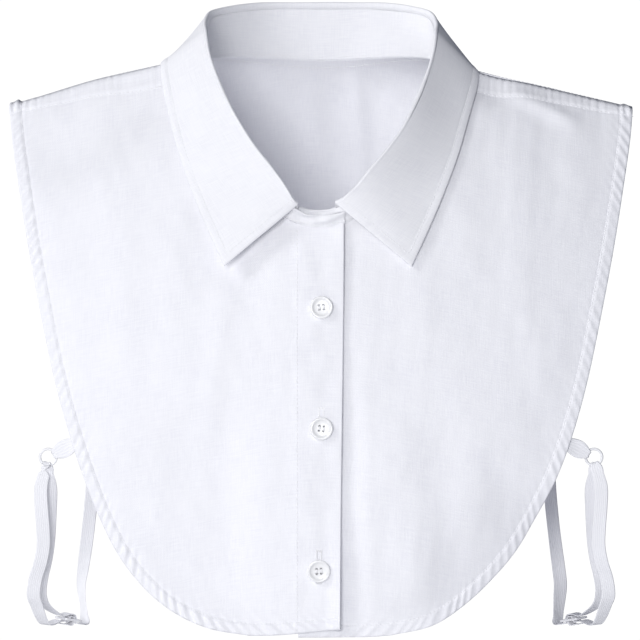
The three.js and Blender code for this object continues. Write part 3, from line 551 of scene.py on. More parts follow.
# %% Folds of the fronts
FOLDS = table(
    "x0 z0 x1 z1 width height",
    (0.62, -0.05, 0.8, -0.095, 0.014, 0.006), (-0.5, -0.04, -0.9, -0.18, 0.055, -0.014),
    (-0.16, -0.6, -0.2, -0.92, 0.05, 0.008), (0.22, -0.62, 0.3, -0.94, 0.055, 0.009),
    (0.5, -0.55, 0.5, -0.8, 0.06, 0.004), (-0.36, -0.6, -0.3, -0.95, 0.13, -0.015))
FINE_FOLDS = table(
    "x0 z0 x1 z1 width height",
    (-0.35, -0.22, -0.27, -0.37, 0.045, -0.009), (-0.3, -0.38, -0.36, -0.62, 0.022, 0.0022),
    (-0.1, -0.42, -0.12, -0.58, 0.012, 0.0015), (0.12, -0.52, 0.15, -0.9, 0.018, 0.0026),
    (0.62, -0.32, 0.7, -0.58, 0.024, 0.002), (0.34, -0.3, 0.31, -0.55, 0.024, 0.0018),
    (-0.62, -0.3, -0.66, -0.55, 0.026, 0.0016))


def fold_height(folds, x, z):
    height = np.zeros_like(x)
    for x0, z0, x1, z1, width, high in zip(*folds.values()):
        ax, az = x0 * SHOULDER_HALF, z0 * BODY_DROP
        dx, dz = x1 * SHOULDER_HALF - ax, z1 * BODY_DROP - az
        along = ((x - ax) * dx + (z - az) * dz) / (dx * dx + dz * dz)
        off = ((x - ax) * dz - (z - az) * dx) / math.hypot(dx, dz)
        ends = window(along, -0.25, 0.25, 0.75, 1.25)
        height += high * BODY_DROP * ends * bell(off, width * BODY_DROP)
    return height


# %% Make the fronts
def stations(length, near, far, middle):
    """Shares along rows of the given lengths, at set distances from both ends and even between."""
    near, far = np.array(near), np.array(far)
    length = np.asarray(length, float)[:, None]
    head = near[None] / length
    tail = 1 - far[None] / length
    share = np.linspace(0, 1, middle + 2)[None, 1:-1]
    between = head[:, -1:] + (tail[:, :1] - head[:, -1:]) * share
    return np.concatenate([head, between, tail], axis=1)


CURL, CURL_REACH = {-1: 2.5, 1: 8.0}, 65
DENT_AT, DENT_HALF, DENT_DEEP = (103, -14), (10, 8), 2.2
HEM_RIDGE = {-1: 1.75, 1: 0.75}
EDGE_LEAN, STAND_OFF = 2.2, (0.4, 1.2, 4.4)
SHOULDER_BAND, BACK_BAND = 7.4, 6.2
PLACKET_SEAM = 1.6 - (PLACKET_WIDTH - LAP)


def front(sign, name, seed):
    along = np.linspace(0, 1, 400)
    around = np.radians(90 + (LAP_END - 90) * np.minimum(along / NECK_SHARE, 1))
    neck_x = NECK_HALF * np.sin(around)
    neck_z = NECK_POINT_Z - NECK_DROP * np.maximum(-np.cos(around), 0) ** NECK_POWER
    end_z = NECK_POINT_Z - BODY_DROP + (PLACKET_RISE if sign < 0 else 0)
    past = np.maximum((along - NECK_SHARE) / (1 - NECK_SHARE), 0)
    inner_z = neck_z + (end_z - neck_z[-1]) * past
    inner_run = np.maximum(run_at_z(FRONT, neck_x, inner_z), seam_run(FRONT))
    tuck = read(FRONT_ROWS, "tuck", along) * BODY_DROP * (sign > 0)
    outer_x = read(FRONT_ROWS, "across", along) * SHOULDER_HALF - tuck
    outer_z = NECK_POINT_Z - read(FRONT_ROWS, "down", along) * BODY_DROP + tuck
    outer_run = np.maximum(run_at_z(FRONT, outer_x, outer_z), seam_run(FRONT))
    outer_run[0] = seam_run(FRONT)
    bow = read(FRONT_ROWS, "bow", along) * BODY_DROP
    u = stations(outer_x - neck_x, (0, 0.15, 0.4, 0.9, 1.8, 3), HEM_STATIONS, 64)
    x = sign * (neck_x[:, None] + (outer_x - neck_x)[:, None] * u)
    if sign < 0:
        x = x - EDGE_LEAN * smooth(0, LAP, x) * smooth(NECK_SHARE, 1, along)[:, None]
    run = (inner_run[:, None] + (outer_run - inner_run)[:, None] * u) + bow[:, None] * 4 * u * (1 - u)
    out = body_normal(FRONT, x, run)
    middle = settled(on_body(FRONT, x, run), run)
    z = middle[..., 2]
    edge = np.concatenate([middle[:, -1], middle[-1, -2::-1]])
    d, s = beside(middle, edge)
    shoulder, t = beside(middle, middle[0])
    aside = smooth(PLACKET_WIDTH * 0.5, PLACKET_WIDTH, np.abs(x))
    calm = smooth(0, 9, shoulder) * smooth(0, 22, d)
    lift = aside * calm * (fold_height(FOLDS, x, z) + fold_height(FINE_FOLDS, x, z))
    # the dent near the shoulder seam, the cloth's slow and fine waves, and the curl of the low side edge
    lift -= DENT_DEEP * bell(x - DENT_AT[0], DENT_HALF[0]) * bell(z - DENT_AT[1], DENT_HALF[1])
    lift += calm * 0.30 * waves(x, z, 34, 80, seed) + calm * 0.10 * waves(x, z, 13, 22, seed + 1)
    low = window(along, 0.5, 0.62, 0.8, 0.92)
    lift -= CURL[sign] * low[:, None] * np.clip(1 - d / CURL_REACH, 0, 1) ** 2
    lift += hem_relief(d, s, seed + 2, height=HEM_RIDGE[sign], period=7.6, slant=1.1)
    # the band along the shoulder seam, which is wider towards the neck
    shoulder = shoulder / (2.5 - 1.5 * t / t.max())
    lift += smooth(12, 28, t) * hem_relief(shoulder, t, seed + 3, width=SHOULDER_BAND, height=1.6,
                                           period=4.3, slant=-0.3)
    half = cloth_half(d)
    centre = u * (outer_x - neck_x)[:, None]
    if sign < 0:
        # the placket: a thicker band over the other front, sewn down, whose free edge stands off
        placket = PLACKET_WIDTH - LAP
        band = smooth(-placket - 0.3, -placket + 0.5, x)
        half = half + 0.25 * band
        seam = bell(x - PLACKET_SEAM, 0.7)
        lift += lap_lift(x) + 0.12 * band + (0.25 * uneven(-z, 7.5, seed + 4) - 0.16) * seam
        lift += 0.16 * band * waves(x, z, 18, 26, seed + 5)
        stand_off = STAND_OFF[0] + STAND_OFF[1] * smooth(-160, -90, z)
        stand_off += STAND_OFF[2] * (1 - smooth(-325, -235, z))
        lift += stand_off * smooth(2, LAP, x)
    else:
        lift -= 1.0 * bell(x - 16, 9) * smooth(0.3, 0.4, along)[:, None]
    free = np.where(along[:, None] > NECK_SHARE, centre, 9)
    thick = np.minimum(faces_at(d, half), folded(free, half))
    return shell(name, middle + out * lift[..., None], out, thick, np.stack([x, -run], -1), POPLIN,
                 hem=d, shoulder=shoulder, x=x, down=np.broadcast_to(along[:, None], x.shape))


front_right = front(-1, "front_right_cloth", 11)
front_left = front(1, "front_left_cloth", 31)

# %% [markdown]
# ## The back
#
# The back is one piece from side to side. Its top edge follows one shoulder seam, the neck seam and
# the other shoulder seam, and it ends in a round hem a little above the front's. Seen from the front
# it shows only inside the neck, where a few soft folds hang from the seam.

# %% Make the back
BACK_SLANT = 0.05
BACK_FOLDS = ((3, 9, 1.7), (18, 5, -1.2), (28, 7, 0.9), (-20, 9, 1.3), (-42, 9, -1.0))


def back(name, seed):
    half_neck = [neck_seam(a) for a in [*np.linspace(0, 80, 41)[1:], 83, 86, 90]]
    outer = NECK_HALF + (SHOULDER_HALF - NECK_HALF) * np.linspace(0, 1, 40)[1:]
    outer = np.concatenate([outer[outer < SHOULDER_HALF - HEM_STATIONS[0]],
                            SHOULDER_HALF - np.array(HEM_STATIONS)])
    start_x = np.array([s[1] for s in half_neck] + outer.tolist())
    start_run = np.array([s[2] for s in half_neck] + [seam_run(BACK)] * len(outer))
    centre_run = neck_seam(0)[2]
    top_x = np.concatenate([-start_x[::-1], [0], start_x])
    top_run = np.concatenate([start_run[::-1], [centre_run], start_run])
    hem = 1 - np.array(HEM_STATIONS) / BACK_DROP
    at = np.concatenate([np.linspace(0, 1, 190)[:-1][np.linspace(0, 1, 190)[:-1] < hem[0]], hem])
    across = read(BACK_ROWS, "across", at)
    edge_x = across * SHOULDER_HALF
    edge_z = NECK_POINT_Z - read(BACK_ROWS, "down", at) * BODY_DROP
    edge_run = run_at_z(BACK, edge_x, edge_z)
    edge_run[0] = seam_run(BACK)
    bottom_run = run_at_z(BACK, 0.0, NECK_POINT_Z - BACK_DROP)
    inner = np.abs(top_x) < SHOULDER_HALF - HEM_STATIONS[0]
    even_x = top_x.copy()
    even_x[inner] = np.linspace(top_x[inner][0], top_x[inner][-1], inner.sum())
    start = top_x[None] + (even_x - top_x)[None] * smooth(0, 0.3, at)[:, None]
    weight = (start / SHOULDER_HALF) ** 2
    x = start * across[:, None]
    lead = top_run[None] - (centre_run + (seam_run(BACK) - centre_run) * (top_x / SHOULDER_HALF)[None] ** 2)
    inner_run = (centre_run + (bottom_run - centre_run) * at)[:, None]
    run = inner_run + (edge_run[:, None] - inner_run) * weight + lead * (1 - at[:, None])
    out = body_normal(BACK, x, run)
    middle = settled(on_body(BACK, x, run), run)
    edge = np.concatenate([middle[:, 0], middle[-1, 1:], middle[-2::-1, -1]])
    d, s = beside(middle, edge)
    seam, t = beside(middle, middle[0])
    calm = smooth(0, 14, seam) * smooth(0, 14, d)
    lift = calm * (0.35 * waves(x, run, 40, 110, seed) + 0.10 * waves(x, run, 13, 24, seed + 1))
    hanging = window(seam, 2, 30, 90, 230) * smooth(0, 40, d)
    for x0, width, high in BACK_FOLDS:
        lift += high * bell(x - x0 - BACK_SLANT * run, width) * hanging
    lift += hem_relief(d, s, seed + 2)
    beyond = smooth(NECK_HALF + 10, NECK_HALF + 24, np.abs(x))
    lift += beyond * hem_relief(seam, t, seed + 3, width=BACK_BAND, height=0.6, period=5.0)
    thick = faces_at(d, cloth_half(d))
    return shell(name, middle + out * lift[..., None], out, thick, np.stack([x, -run], -1), POPLIN,
                 hem=d, shoulder=seam)


back_cloth = back("back_cloth", 51)

# %% [markdown]
# ## The collar
#
# A shirt collar has two parts. The stand is a stiff band sewn to the neck seam. The leaf is sewn to
# the stand's top edge, rolls over it and falls outside to two points. A section through both is
# known at any angle round the neck: where the seam is, which way the stand leans, and where the
# leaf's edge lies on the body. The leaf's fall is a curve between the roll and that edge.

# %% Sections round the neck
NAPE_TALLER, THROAT_LOWER = 0.03, 0.09


def eased(around, ease=14.0):
    """The angle with the peak at the centre of the back softened."""
    return around if around >= ease else around**2 / (2 * ease) + ease / 2


def section(signed):
    """The stand at an angle: its foot, the ways up and out, its height, and how far it is lapped."""
    around, sign = abs(signed), (-1 if signed < 0 else 1)
    side, x, run = neck_seam(around)
    lift = float(lap_lift(-x)) if sign < 0 and around > 90 else 0.0
    base = on_body(side, x, run) + body_normal(side, x, run) * lift
    fold = np.array([float(read(COLLAR, c, a)) for c, a in (
        ("fold_x", around), ("fold_y", eased(around)), ("fold_z", eased(around)))])
    side_name = "left" if sign > 0 else "right"
    fold[0] += float(read(LEAN, side_name, around))
    fold[1] -= float(read(LEAN, "ahead", around)) * (sign > 0)
    fold[2] += NAPE_TALLER * (1 - smooth(20, 60, around))
    fold[2] -= THROAT_LOWER * smooth(152, 168, around) * (sign < 0)
    fold *= STAND_HEIGHT
    height = float(np.linalg.norm(fold))
    up = fold / height
    ahead, behind = neck_seam(around + 1), neck_seam(abs(around - 1))
    back_x = -behind[1] if around < 1 else behind[1]
    way = on_body(*ahead) - on_body(behind[0], back_x, behind[2])
    out = unit(np.cross(up, way))
    base = base + out * lift * 0.4
    base[2] += settle(sign * x, run)
    mirror = np.array([sign, 1, 1])
    return base * mirror, up * mirror, out * mirror, height, lift


def smooth_normals(points):
    return unit(np.cross(np.gradient(points, axis=0), np.gradient(points, axis=1)))


def round_neck(last, count):
    """Angles from one end of the collar to the other, closer together at both ends."""
    even = np.linspace(-last, last, count)
    ends = last - np.array([0.0, 0.12, 0.3, 0.6, 1.0, 1.6])
    inside = even[np.abs(even) < ends.min()]
    return np.concatenate([-ends, inside, ends[::-1]])


# %% Make the stand
STAND_HALF, STAND_SEAM = 0.62, 1.6


def stand(name, seed):
    angles = round_neck(LAP_END, 330)
    rise = np.concatenate([[0, 0.01, 0.03], np.linspace(0.06, 0.94, 18), [0.97, 0.99, 1.0]])
    rows = []
    for signed in angles:
        base, up, _, height, _ = section(signed)
        top = height - LEAF_RISE + 0.2
        rows.append([base + up * (0.1 + (top - 0.1) * r) for r in rise])
    middle = np.array(rows)
    out = smooth_normals(middle)
    along = lengths(middle[:, 0])[:, None] + 0 * middle[..., 0]
    high = np.linalg.norm(middle - middle[:, :1], axis=-1)
    tall = high[:, -1:]
    crumple = smooth(150, 172, np.abs(angles))[:, None]
    lift = 0.10 * waves(along, high, 26, 40, seed) + crumple * 0.9 * waves(along, high, 14, 6, seed + 1)
    lift -= 0.22 * bell(high - STAND_SEAM, 0.6)
    lift += 0.12 * uneven(along, 5.5, seed + 2) * bell(high - STAND_SEAM, 2.2)
    thick = faces_at(tall - high, STAND_HALF)
    return shell(name, middle + out * lift[..., None], out, thick, np.stack([along, high], -1),
                 FUSED_POPLIN, high=high)


stand_cloth = stand("stand_cloth", 71)

# %% Make the leaf
def bezier(a, b, c, d, t):
    t = t[:, None]
    return a * (1 - t) ** 3 + 3 * b * t * (1 - t) ** 2 + 3 * c * t**2 * (1 - t) + d * t**3


ROLL, LEAF_HALF, LEAF_SEAM = 0.65, 0.42, 4.6
LEAF_STAND_OFF = {-1: 4.2, 1: 0.4}
LEAF_SINK = {-1: 1.7, 1: 3.0}
SHORTER, ROLL_STEPS, POINT_TUCK, HOLLOW = 4.0, 13, 0.045, 4.5


def leaf(name, seed):
    angles = round_neck(LEAF_LAST, 300)
    angles = np.where(angles < 0, angles * (1 - SHORTER / LEAF_LAST), angles)
    fall_steps = np.concatenate([np.linspace(0, 1, 44)[1:-2], 1 - np.array([0.02, 0.01, 0.004, 0.0])])
    rows = []
    for signed in angles:
        around, sign = abs(signed), (-1 if signed < 0 else 1)
        base, up, away, height, lapped = section(signed)
        row = [base + up * (height - LEAF_RISE - 0.3)]
        centre = base + up * (height - ROLL) + away * ROLL
        row.extend(centre + ROLL * (up * math.sin(a) - away * math.cos(a))
                   for a in np.linspace(0, math.pi, ROLL_STEPS))
        tuck = POINT_TUCK * smooth(70, 118, around) * (sign > 0)
        at = around + (SHORTER * smooth(90, LEAF_LAST - SHORTER, around) if sign < 0 else 0)
        edge_x = float(read(COLLAR, "edge_x", at) - tuck) * NECK_HALF
        edge_run = float(read(COLLAR, "edge_run", eased(at))) * NECK_DROP
        side = FRONT if edge_run < 0 else BACK
        clear = HEM_WALL / 2 + LEAF_WALL / 2 + lapped + LEAF_CLEAR
        clear += LEAF_STAND_OFF[sign] * smooth(130, 168, around)
        rest = body_normal(side, edge_x, abs(edge_run))
        edge = (on_body(side, edge_x, abs(edge_run)) + rest * clear) * (sign, 1, 1)
        edge[2] += settle(edge[0], abs(edge_run)) - LEAF_SINK[sign] * bell(around - 88, 14)
        start = row[-1]
        straight = smooth(12, 45, around)
        bulge = 0.6 - 0.8 * window(around, 40, 70, 95, 120)
        bulge -= HOLLOW * (sign > 0) * window(around, 98, 125, 150, 168)
        reach = 0.3 * np.linalg.norm(edge - start)
        leave = start - up * reach * (1 - straight) + unit(edge - start) * reach * straight
        arrive = edge + (start - edge) * 0.35
        arrive += rest * (sign, 1, 1) * (LEAF_BULGE + (bulge - LEAF_BULGE) * straight)
        row.extend(bezier(start, leave, arrive, edge, fall_steps))
        rows.append(row)
    middle = np.array(rows)
    out = smooth_normals(middle)
    edge = np.concatenate([middle[0, ROLL_STEPS:], middle[1:, -1], middle[-1, -2:ROLL_STEPS - 1:-1]])
    d, s = beside(middle, edge)
    steps = np.linalg.norm(np.diff(middle, axis=1), axis=-1)
    fall = np.concatenate([np.zeros((len(rows), 1)), np.cumsum(steps, axis=1)], axis=1)
    along = lengths(middle[:, -1])[:, None] + 0 * fall
    seam = bell(d - LEAF_SEAM, 0.55)
    ply = window(d, 0, 1.2, LEAF_SEAM - 0.7, LEAF_SEAM + 0.3)
    lift = 0.16 * waves(along, fall, 55, 40, seed) * smooth(0, 12, d) - 0.30 * seam + 0.22 * ply
    lift += 0.16 * uneven(s, 6.0, seed + 1) * bell(d - 4.2, 2.4)
    thick = faces_at(d, LEAF_HALF)
    return shell(name, middle + out * lift[..., None], out, thick, np.stack([along, fall], -1),
                 FUSED_POPLIN, edge=d, fall=fall)


leaf_cloth = leaf("leaf_cloth", 91)

# %% [markdown]
# ## Stitches
#
# Stitches repeat along a line, which is work for Geometry Nodes. The line is a mesh of edges that
# carries the cloth's way out at each point. The tree turns it to a curve, sets a point at each
# stitch, lays a small rounded bar of thread there, flat on the cloth and along the line, and ends in
# real mesh. A turn of ninety degrees lays the bars across the line, as round a buttonhole. The lines
# are read off the cloth's grid as contours, such as all places 7 mm from the hem's edge.

# %% Tree that sews along lines
TURN_DRIFT = 0.07


def stitch_tree():
    tree = bpy.data.node_groups.new("Stitches along a line", "GeometryNodeTree")
    sockets = tree.interface
    sockets.new_socket("Line", in_out="INPUT", socket_type="NodeSocketGeometry")
    for name, value in (("Pitch", 0.0024), ("Length", 0.0018), ("Thread", 0.0004), ("Turn", 0.0)):
        sockets.new_socket(name, in_out="INPUT", socket_type="NodeSocketFloat").default_value = value
    sockets.new_socket("Seed", in_out="INPUT", socket_type="NodeSocketInt").default_value = 1
    sockets.new_socket("Material", in_out="INPUT", socket_type="NodeSocketMaterial")
    sockets.new_socket("Stitches", in_out="OUTPUT", socket_type="NodeSocketGeometry")
    given = add_node(tree, "NodeGroupInput").outputs
    curve = first_of(tree, "GeometryNodeMeshToCurve", {"Mesh": given["Line"]})
    spaced = first_of(tree, "GeometryNodeResampleCurve", {"Curve": curve, "Length": given["Pitch"]},
                      mode="LENGTH")
    out = first_of(tree, "GeometryNodeInputNamedAttribute", {"Name": "out"}, data_type="FLOAT_VECTOR")
    flat = first_of(tree, "FunctionNodeAlignRotationToVector", {"Vector": out}, axis="Z")
    tangent = first_of(tree, "GeometryNodeInputTangent")
    laid = first_of(tree, "FunctionNodeAlignRotationToVector", {"Rotation": flat, "Vector": tangent},
                    axis="X", pivot_axis="Z")
    uneven_turn = add_node(tree, "FunctionNodeRandomValue",
                           {"Min": -TURN_DRIFT, "Max": TURN_DRIFT, "Seed": given["Seed"]}).outputs[1]
    about = first_of(tree, "ShaderNodeCombineXYZ", {"Z": maths(tree, "ADD", given["Turn"], uneven_turn)})
    spin = first_of(tree, "FunctionNodeEulerToRotation", {0: about})
    turned = first_of(tree, "FunctionNodeRotateRotation", {"Rotation": laid, "Rotate By": spin},
                      rotation_space="LOCAL")
    bar = first_of(tree, "GeometryNodeMeshUVSphere", {"Segments": 6, "Rings": 4, "Radius": 0.5})
    size = first_of(tree, "ShaderNodeCombineXYZ",
                    {"X": given["Length"], "Y": given["Thread"], "Z": given["Thread"]})
    sewn = first_of(tree, "GeometryNodeInstanceOnPoints",
                    {"Points": spaced, "Instance": bar, "Rotation": turned, "Scale": size})
    real = first_of(tree, "GeometryNodeRealizeInstances", {0: sewn})
    soft = first_of(tree, "GeometryNodeSetShadeSmooth", {0: real})
    faced = first_of(tree, "GeometryNodeSetMaterial", {"Geometry": soft, "Material": given["Material"]})
    add_node(tree, "NodeGroupOutput", {0: faced})
    return tree


STITCHES = stitch_tree()


def plain_mesh(piece, name):
    evaluated = piece.evaluated_get(bpy.context.evaluated_depsgraph_get())
    mesh = bpy.data.meshes.new_from_object(evaluated)
    bpy.data.objects.remove(piece)
    mesh.name = name
    return linked(name, mesh)


def sew(name, lines, pitch, seed, length=1.9, thread=0.42, turn=0.0):
    points, outs, edges = [], [], []
    for line_points, line_outs, line_edges in lines:
        edges.append(np.asarray(line_edges) + sum(len(p) for p in points))
        points.append(np.asarray(line_points))
        outs.append(np.asarray(line_outs))
    mesh = bpy.data.meshes.new(name)
    mesh.from_pydata((np.concatenate(points) * MM).tolist(), np.concatenate(edges).tolist(), [])
    way = mesh.attributes.new("out", "FLOAT_VECTOR", "POINT")
    way.data.foreach_set("vector", np.concatenate(outs).ravel())
    line = linked(name, mesh)
    modifier = line.modifiers.new("Sew", "NODES")
    modifier.node_group = STITCHES
    values = {"Pitch": pitch * MM, "Length": length * MM, "Thread": thread * MM, "Turn": turn,
              "Seed": seed, "Material": THREAD}
    for item in STITCHES.interface.items_tree:
        if item.in_out == "INPUT" and item.name in values:
            modifier[item.identifier] = values[item.name]
    line.update_tag()
    done = plain_mesh(line, name)
    print(f"{name}: {len(done.data.polygons) // 24} stitches")
    return done


def contour(points, out, field, level, keep=None):
    """The line on a grid where a field has a level, as points, ways out and edges between them."""
    above = field > level
    rows, columns = field.shape
    mixed = above[:-1, :-1].astype(int) + above[1:, :-1] + above[:-1, 1:] + above[1:, 1:]
    index, places, outs, edges = {}, [], [], []

    def crossing(a, b):
        key = (a, b)
        if key not in index:
            share = (level - field[a]) / (field[b] - field[a])
            index[key] = len(places)
            places.append(points[a] + (points[b] - points[a]) * share)
            outs.append(out[a])
        return index[key]

    for i, j in zip(*np.nonzero((mixed > 0) & (mixed < 4))):
        if keep is not None and not keep[i, j]:
            continue
        ring = [(i, j), (i, j + 1), (i + 1, j + 1), (i + 1, j)]
        cuts = [crossing(*sorted((ring[k], ring[(k + 1) % 4])))
                for k in range(4) if above[ring[k]] != above[ring[(k + 1) % 4]]]
        if len(cuts) == 2:
            edges.append(cuts)
    return places, outs, edges


# %% Sew the hems and seams
def seam_on(cloth, name, level, keep=None, face="top"):
    flip = 1 if face == "top" else -1
    return contour(cloth[face] + cloth["out"] * 0.12 * flip, cloth["out"] * flip, cloth["field"][name],
                   level, keep)


hems = []
for cloth in (front_right, front_left):
    hems.append(seam_on(cloth, "hem", HEM_WIDTH, cloth["field"]["shoulder"] > 3))
    hems.append(seam_on(cloth, "shoulder", SHOULDER_BAND, cloth["field"]["down"] > 0.004))
for name, level, beyond in (("hem", HEM_WIDTH, "shoulder"), ("shoulder", BACK_BAND, "hem")):
    keep = back_cloth["field"][beyond] > (3 if name == "hem" else 2)
    hems += [seam_on(back_cloth, name, level, keep, face) for face in ("top", "under")]
hem_stitching = sew("hem_stitching", hems, pitch=2.5, seed=3)

right_keep = (front_right["field"]["down"] > 0.30) & (front_right["field"]["hem"] > 4)
placket_stitching = sew("placket_stitching", [seam_on(front_right, "x", PLACKET_SEAM, right_keep)],
                        pitch=2.5, seed=4)

collar_lines = [seam_on(leaf_cloth, "edge", LEAF_SEAM, leaf_cloth["field"]["fall"] > LEAF_SEAM),
                seam_on(stand_cloth, "high", STAND_SEAM),
                seam_on(stand_cloth, "high", STAND_SEAM + 0.2, face="under")]
collar_stitching = sew("collar_stitching", collar_lines, pitch=2.2, length=1.7, thread=0.38, seed=5)

# %% [markdown]
# ## Buttons
#
# A shirt button is a cast disc, turned on a lathe: a rounded rim, a dished face and four holes. The
# turned body is a profile spun round the button's axis, and the holes are cut from it with a Boolean
# modifier. Then it is sewn on with a few strands through each pair of holes.

# %% Turned buttons
BUTTON_ROWS = (0.430, 0.640, 0.884)
BUTTON_OFF = {0.430: (0.3, 1.0), 0.640: (0.3, 1.6), 0.884: (-1.2, 0.5)}
BUTTON_RADIUS, BUTTON_THICK, BUTTON_HOLE, BUTTON_HOLE_PITCH, STRAND_RADIUS = 6.7, 2.4, 0.8, 2.6, 0.2
BUTTON_SECTION = ((0.00, 0.00), (0.60, 0.00), (0.80, 0.01), (0.90, 0.08), (0.97, 0.24), (1.00, 0.48),
                  (0.99, 0.72), (0.95, 0.90), (0.89, 0.99), (0.83, 0.99), (0.77, 0.90), (0.71, 0.74),
                  (0.64, 0.64), (0.56, 0.61), (0.30, 0.60), (0.00, 0.60))


def turned(profile, sides):
    """A profile of radius and height, spun round the axis."""
    points, faces, last = [], [], len(profile) - 1
    angles = np.linspace(0, math.tau, sides, endpoint=False)
    for k, (r, z) in enumerate(profile):
        for angle in (angles if 0 < k < last else angles[:1]):
            points.append((r * math.cos(angle), r * math.sin(angle), z))
    ring = lambda k, i: 0 if k == 0 else (len(points) - 1 if k == last else 1 + (k - 1) * sides + i % sides)
    for k in range(last):
        for i in range(sides):
            corners = [ring(k, i), ring(k + 1, i), ring(k + 1, i + 1), ring(k, i + 1)]
            faces.append(list(dict.fromkeys(corners)))
    return np.array(points), faces


def tube(line, radius, sides=8):
    line = np.asarray(line, float)
    along = unit(np.gradient(line, axis=0))
    side = unit(np.cross(along, (0.31, 0.52, 0.79)))
    up = np.cross(along, side)
    angles = np.linspace(0, math.tau, sides, endpoint=False)
    rings = line[:, None] + radius * (side[:, None] * np.cos(angles)[None, :, None]
                                      + up[:, None] * np.sin(angles)[None, :, None])
    count = len(line)
    faces = [[k * sides + i, k * sides + (i + 1) % sides, (k + 1) * sides + (i + 1) % sides,
              (k + 1) * sides + i] for k in range(count - 1) for i in range(sides)]
    faces += [list(range(sides))[::-1], list(range((count - 1) * sides, count * sides))]
    return rings.reshape(-1, 3), faces


def joined(parts):
    points, faces = [], []
    for some, more in parts:
        faces += [[v + len(points) for v in face] for face in more]
        points.extend(some)
    return np.array(points), faces


def recalculated(piece):
    work = bmesh.new()
    work.from_mesh(piece.data)
    bmesh.ops.remove_doubles(work, verts=work.verts, dist=1e-7)
    bmesh.ops.recalc_face_normals(work, faces=work.faces)
    work.to_mesh(piece.data)
    work.free()
    return piece


def button_seat(down, turn):
    x, up = BUTTON_OFF[down]
    run = run_at_z(FRONT, x, NECK_POINT_Z - down * BODY_DROP + up)
    normal = body_normal(FRONT, x, run)
    point = on_body(FRONT, x, run) + normal * (LAP_LIFT + HEM_WALL / 2 + GAP)
    way = Vector(normal)
    side = way.cross(Vector((1, 0, 0))).normalized()
    basis = Matrix((side.cross(way), side, way)).transposed().to_4x4()
    return Matrix.Translation(Vector(point) * MM) @ basis @ Matrix.Rotation(turn, 4, "Z")


def button(number, down, turn):
    points, faces = turned([(r * BUTTON_RADIUS, z * BUTTON_THICK) for r, z in BUTTON_SECTION], 64)
    piece = recalculated(to_mesh(f"button_{number}_resin", points, faces, RESIN))
    holes = [np.array([i, j, 0]) * BUTTON_HOLE_PITCH / 2 for i, j in ((-1, -1), (1, -1), (1, 1), (-1, 1))]
    bits = [tube([at + (0, 0, z) for z in (-1, 1, BUTTON_THICK + 1)], BUTTON_HOLE, 16) for at in holes]
    drill = recalculated(to_mesh("drill", *joined(bits), RESIN))
    cut = piece.modifiers.new("Holes", "BOOLEAN")
    cut.object = drill
    cut.operation = "DIFFERENCE"
    cut.solver = "EXACT"
    done = plain_mesh(piece, f"button_{number}_resin")
    bpy.data.objects.remove(drill)
    done.data.transform(button_seat(down, turn))
    shade_smooth(done.data, crease=42)
    print(f"button {number}: {len(done.data.polygons)} faces")
    return done


BUTTON_TURNS = (0.10, -0.16, 0.05)
buttons = [button(k + 1, down, turn) for k, (down, turn) in enumerate(zip(BUTTON_ROWS, BUTTON_TURNS))]

# %% Thread through the holes
def button_thread(number, down, turn, seed):
    rng = np.random.default_rng(seed)
    strands = []
    reach, face = BUTTON_HOLE_PITCH / 2, BUTTON_THICK * 0.6
    for pair in (-1, 1):
        for strand in (-0.32, 0.0, 0.32):
            bow = 0.42 + rng.uniform(-0.06, 0.06)
            t = np.linspace(0, 1, 9)
            x = pair * reach + strand + rng.uniform(-0.05, 0.05) * t
            y = -reach + 2 * reach * t
            z = face + bow * np.sin(math.pi * t) ** 0.6 - 1.0 * (t == 0) - 1.0 * (t == 1) - 0.1
            strands.append(tube(np.stack([x, y, z], 1), STRAND_RADIUS, 8))
    piece = recalculated(to_mesh(f"button_{number}_thread", *joined(strands), THREAD))
    piece.data.transform(button_seat(down, turn))
    return piece


threads = [button_thread(k + 1, down, turn, 200 + k)
           for k, (down, turn) in enumerate(zip(BUTTON_ROWS, BUTTON_TURNS))]

# %% [markdown]
# ## Buttonholes
#
# A buttonhole is a slit edged with close stitches that lie across its edge, and a bar of longer ones
# closes each end. The button hides most of it, so what shows is the upper end with its bar and a
# little of the lower one. The same tree sews it, with the stitches turned across the line.

# %% Sew the buttonholes
SLIT_LENGTH, SLIT_RISE, SLIT_HALF, BAR_HALF, BAR_BEYOND = 17.5, 2.4, 1.3, 1.7, 0.5
PLACKET_FACE = 0.72


def on_placket(x, z):
    run = run_at_z(FRONT, x, z)
    normal = body_normal(FRONT, x, run)
    return on_body(FRONT, x, run) + normal * (float(lap_lift(x)) + PLACKET_FACE), normal


def straight(x0, z0, x1, z1, count=14):
    spots = [on_placket(x0 + (x1 - x0) * t, z0 + (z1 - z0) * t) for t in np.linspace(0, 1, count)]
    return [s[0] for s in spots], [s[1] for s in spots], [(i, i + 1) for i in range(count - 1)]


edges, bars = [], []
for down in BUTTON_ROWS:
    centre_x, up = BUTTON_OFF[down]
    middle_z = NECK_POINT_Z - down * BODY_DROP + up + SLIT_RISE
    low, high = middle_z - SLIT_LENGTH / 2, middle_z + SLIT_LENGTH / 2
    edges += [straight(x, low, x, high) for x in (centre_x - SLIT_HALF, centre_x + SLIT_HALF)]
    bars += [straight(centre_x - BAR_HALF, z, centre_x + BAR_HALF, z)
             for z in (low - BAR_BEYOND, high + BAR_BEYOND)]
CLOSE = {"thread": 0.46, "turn": math.pi / 2}
buttonhole_edges = sew("buttonhole_edges", edges, pitch=0.5, length=1.35, seed=6, **CLOSE)
buttonhole_bars = sew("buttonhole_bars", bars, pitch=0.42, length=1.8, seed=7, **CLOSE)

